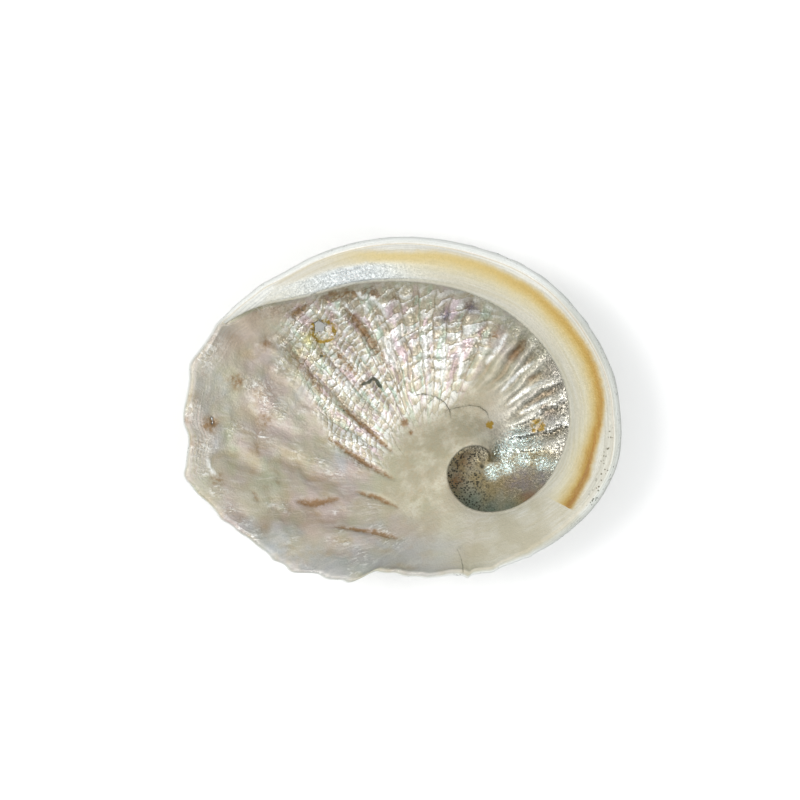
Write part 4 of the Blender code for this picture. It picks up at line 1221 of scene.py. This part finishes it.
def nacreBump(w):
    edgeRows = w.combine(w.times(w.fact("edgeWay"), 0.5), w.times(w.along, 0.05))
    streaked = w.add(w.times(w.onShelf, 0.3), w.onBack, w.rimBand)
    height = w.add(
        w.times(w.plateHeight, w.brick, 0.25), w.times(w.joint, -0.1),
        w.times(w.noise(edgeRows, 1.0, 4.0, 0.6, 0.6), w.calm, 0.2),
        w.times(w.noise(w.spot, 1.6, 3.0), 0.1), w.times(w.streaks, streaked, 0.15),
        w.times(w.noise(w.spot, 0.9, 3.0, 0.6, 1.2), w.strip, 1.3), w.times(w.crinkle, w.crinkled, 0.35),
        w.times(w.silk, w.rest(w.onShelf), w.rest(w.onBack), w.silkShare, 0.2),
        w.times(w.noise(w.spot, 3.2, 2.0), 0.05),
    )
    return w.node("ShaderNodeBump", {"Height": height, "Distance": mm, "Strength": 1.0}).outputs[0]


# Glitter: tiny flakes, each with its own tilt and a painted sparkle that makes its colour lighter or darker.
# Gives (tint, normal).
def glittering(w, tint):
    flake = w.cells(w.spot, 1.0 / nacreLooks["flakeSize"])["Color"]
    glitter = w.least(1.0, w.add(
        w.times(w.strip, 0.7), w.times(w.silver, w.rest(w.pit), 0.8), w.times(w.pit, 0.3), w.patch,
        w.times(w.brick, 0.45), w.times(w.crinkled, 0.3), 0.2,
    ))
    glitter = w.times(glitter, w.rest(w.times(w.onBack, 0.8)))
    turn = w.vector("SUBTRACT", flake, (0.5, 0.5, 0.5))
    tilt = w.vector("SCALE", turn, scale=w.times(glitter, nacreLooks["sparkle"]))
    normal = w.vector("NORMALIZE", w.shifted(nacreBump(w), tilt))
    # painted sparkle: each flake's colour made lighter or darker
    shade = w.times(w.less(w.separate(flake)[1], 0.5), glitter, w.add(0.4, w.silver))
    shaded = w.vector("SCALE", tint, scale=w.add(1.0, shade))
    return w.vector("MINIMUM", shaded, (1.0, 1.0, 1.0)), normal


def nacreMaterial():
    looks = nacreLooks
    material = bpy.data.materials.new("nacre")
    material.use_nodes = True
    material.node_tree.nodes.clear()
    w = NacreWiring(material.node_tree)
    tint = satinTint(w)
    for layer in (silverTint, plateTint, stainsAndGleamTint, shelfTint, chalkyTint, speckledTint):
        tint = layer(w, tint)
    darkCracksAndShade = cracksAndPaintedShade(w)
    # painted shadow along cracks and broken layers, painted shade in tiny holes
    tint = w.over(tint, "dark", w.times(darkCracksAndShade, 0.9))
    tint, normal = glittering(w, tint)

    inside, offShelf, offCalm = w.rest(w.onBack), w.rest(w.onShelf), w.rest(w.calm)
    stained = w.most(w.fact("brown"), w.fact("yellow"))
    matte = w.most(w.ramp(stained, 0.2, 0.9, 0.0, 0.8), darkCracksAndShade)
    metallic = w.times(inside, w.rest(w.times(matte, 0.8)), w.least(0.85, w.add(
        w.times(offShelf, offCalm, 0.2), w.times(w.silver, offCalm, w.rest(w.pit), 0.5),
        w.times(w.brick, 0.3), w.times(w.pit, 0.15), w.times(w.patch, 0.5), w.times(w.strip, 0.2),
        w.times(w.crinkled, 0.2),
    )))
    satin = looks["satinRoughness"]
    polished = w.least(1.0, w.add(w.silver, w.brick, w.strip, w.crinkled))
    rough = w.add(
        satin, w.times(polished, looks["silverRoughness"] - satin), w.times(w.calm, 0.18),
        w.times(w.onShelf, looks["shelfRoughness"] - satin),
        w.times(w.onBack, looks["chalkRoughness"] - satin), w.times(matte, 0.2),
    )
    shader = w.node("ShaderNodeBsdfPrincipled", {
        "Base Color": tint, "Metallic": metallic, "Normal": normal,
        "Roughness": w.most(rough, looks["leastRoughness"]), "IOR": looks["refraction"],
        "Coat Weight": looks["coat"], "Coat Roughness": looks["coatRoughness"],
        "Thin Film Thickness": looks["filmThickness"], "Thin Film IOR": looks["filmRefraction"],
    })
    w.node("ShaderNodeOutputMaterial", {"Surface": shader.outputs[0]})
    return material


def makeShell(material):
    places, faces, known = loftShell()
    print("lofted the shell:", len(places), "points")
    facts = describeVertices(places, known)
    mesh = bpy.data.meshes.new("shell")
    mesh.from_pydata(places * mm, [], faces)
    for name, values in facts.items():
        mesh.attributes.new(name, "FLOAT", "POINT").data.foreach_set("value", values.astype(np.float32))
    bm = bmesh.new()
    bm.from_mesh(mesh)
    bmesh.ops.recalc_face_normals(bm, faces=bm.faces)
    for number, (angle, r, radius) in enumerate(breathingHoles["places"]):
        if radius:
            openHole(bm, angle, r, radius, number)
    print("opened the breathing holes, edges out of order:", sum(not e.is_manifold for e in bm.edges))
    bm.to_mesh(mesh)
    bm.free()
    shell = bpy.data.objects.new("abaloneShell", mesh)
    bpy.context.scene.collection.objects.link(shell)
    bake(shell, reliefTree(), {**reliefSizes, "material": material}, shellMesh["keep"])
    for vertex in shell.data.vertices:
        vertex.co.z = max(vertex.co.z, 0.0)
    print("gave the shell its relief:", len(shell.data.polygons), "faces")
    return shell


# The studio. Lights: (place in metres, width, height, power in watts, colour).
studio = {
    "floorColour": (0.97, 0.97, 0.97),
    "floorSize": 6.0,
    "floorRoughness": 0.85,
    "world": (0.97, 0.985, 1.0),
    "worldStrength": 0.6,
    "lights": {
        "key": ((-0.44, 0.08, 0.80), 0.3, 0.3, 2.7, (1.0, 0.985, 0.96)),
        "overhead": ((0.0, 0.0, 0.95), 1.2, 1.2, 2.5, (1.0, 1.0, 1.0)),
        "right": ((0.50, -0.20, 0.6), 0.3, 0.3, 1.3, (0.98, 0.99, 1.0)),
    },
    "cameraPlace": (-0.0007, 0.0024, 0.630),
    "lens": 99.2,
}


def makeStudio():
    floorMaterial = bpy.data.materials.new("paperFloor")
    floorMaterial.use_nodes = True
    shader = floorMaterial.node_tree.nodes["Principled BSDF"]
    shader.inputs["Base Color"].default_value = (*studio["floorColour"], 1.0)
    shader.inputs["Roughness"].default_value = studio["floorRoughness"]
    bpy.ops.mesh.primitive_plane_add(size=studio["floorSize"], location=(0.0, 0.0, 0.0))
    floor = bpy.context.object
    floor.name = "floor"
    floor.data.materials.append(floorMaterial)

    bpy.context.scene.view_settings.view_transform = "Standard"
    world = bpy.data.worlds.new("studioWorld")
    world.use_nodes = True
    background = world.node_tree.nodes["Background"]
    background.inputs["Color"].default_value = (*studio["world"], 1.0)
    background.inputs["Strength"].default_value = studio["worldStrength"]
    bpy.context.scene.world = world

    for name, (spot, width, height, power, tint) in studio["lights"].items():
        lamp = bpy.data.lights.new(name, "AREA")
        lamp.shape = "RECTANGLE"
        lamp.size, lamp.size_y = width, height
        lamp.energy = power
        lamp.color = tint
        light = bpy.data.objects.new(name, lamp)
        light.location = spot
        light.rotation_euler = (-Vector(spot)).to_track_quat("-Z", "Y").to_euler()
        bpy.context.scene.collection.objects.link(light)

    camera = bpy.data.objects.new("camera", bpy.data.cameras.new("camera"))
    camera.data.lens = studio["lens"]
    camera.data.sensor_width = 36.0
    camera.data.clip_start = 0.01
    camera.location = studio["cameraPlace"]
    bpy.context.scene.collection.objects.link(camera)
    bpy.context.scene.camera = camera


nacre = nacreMaterial()
print("mixed the nacre")
shell = makeShell(nacre)
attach(shell, "root")
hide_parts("shell")

makeStudio()
print("set the studio")
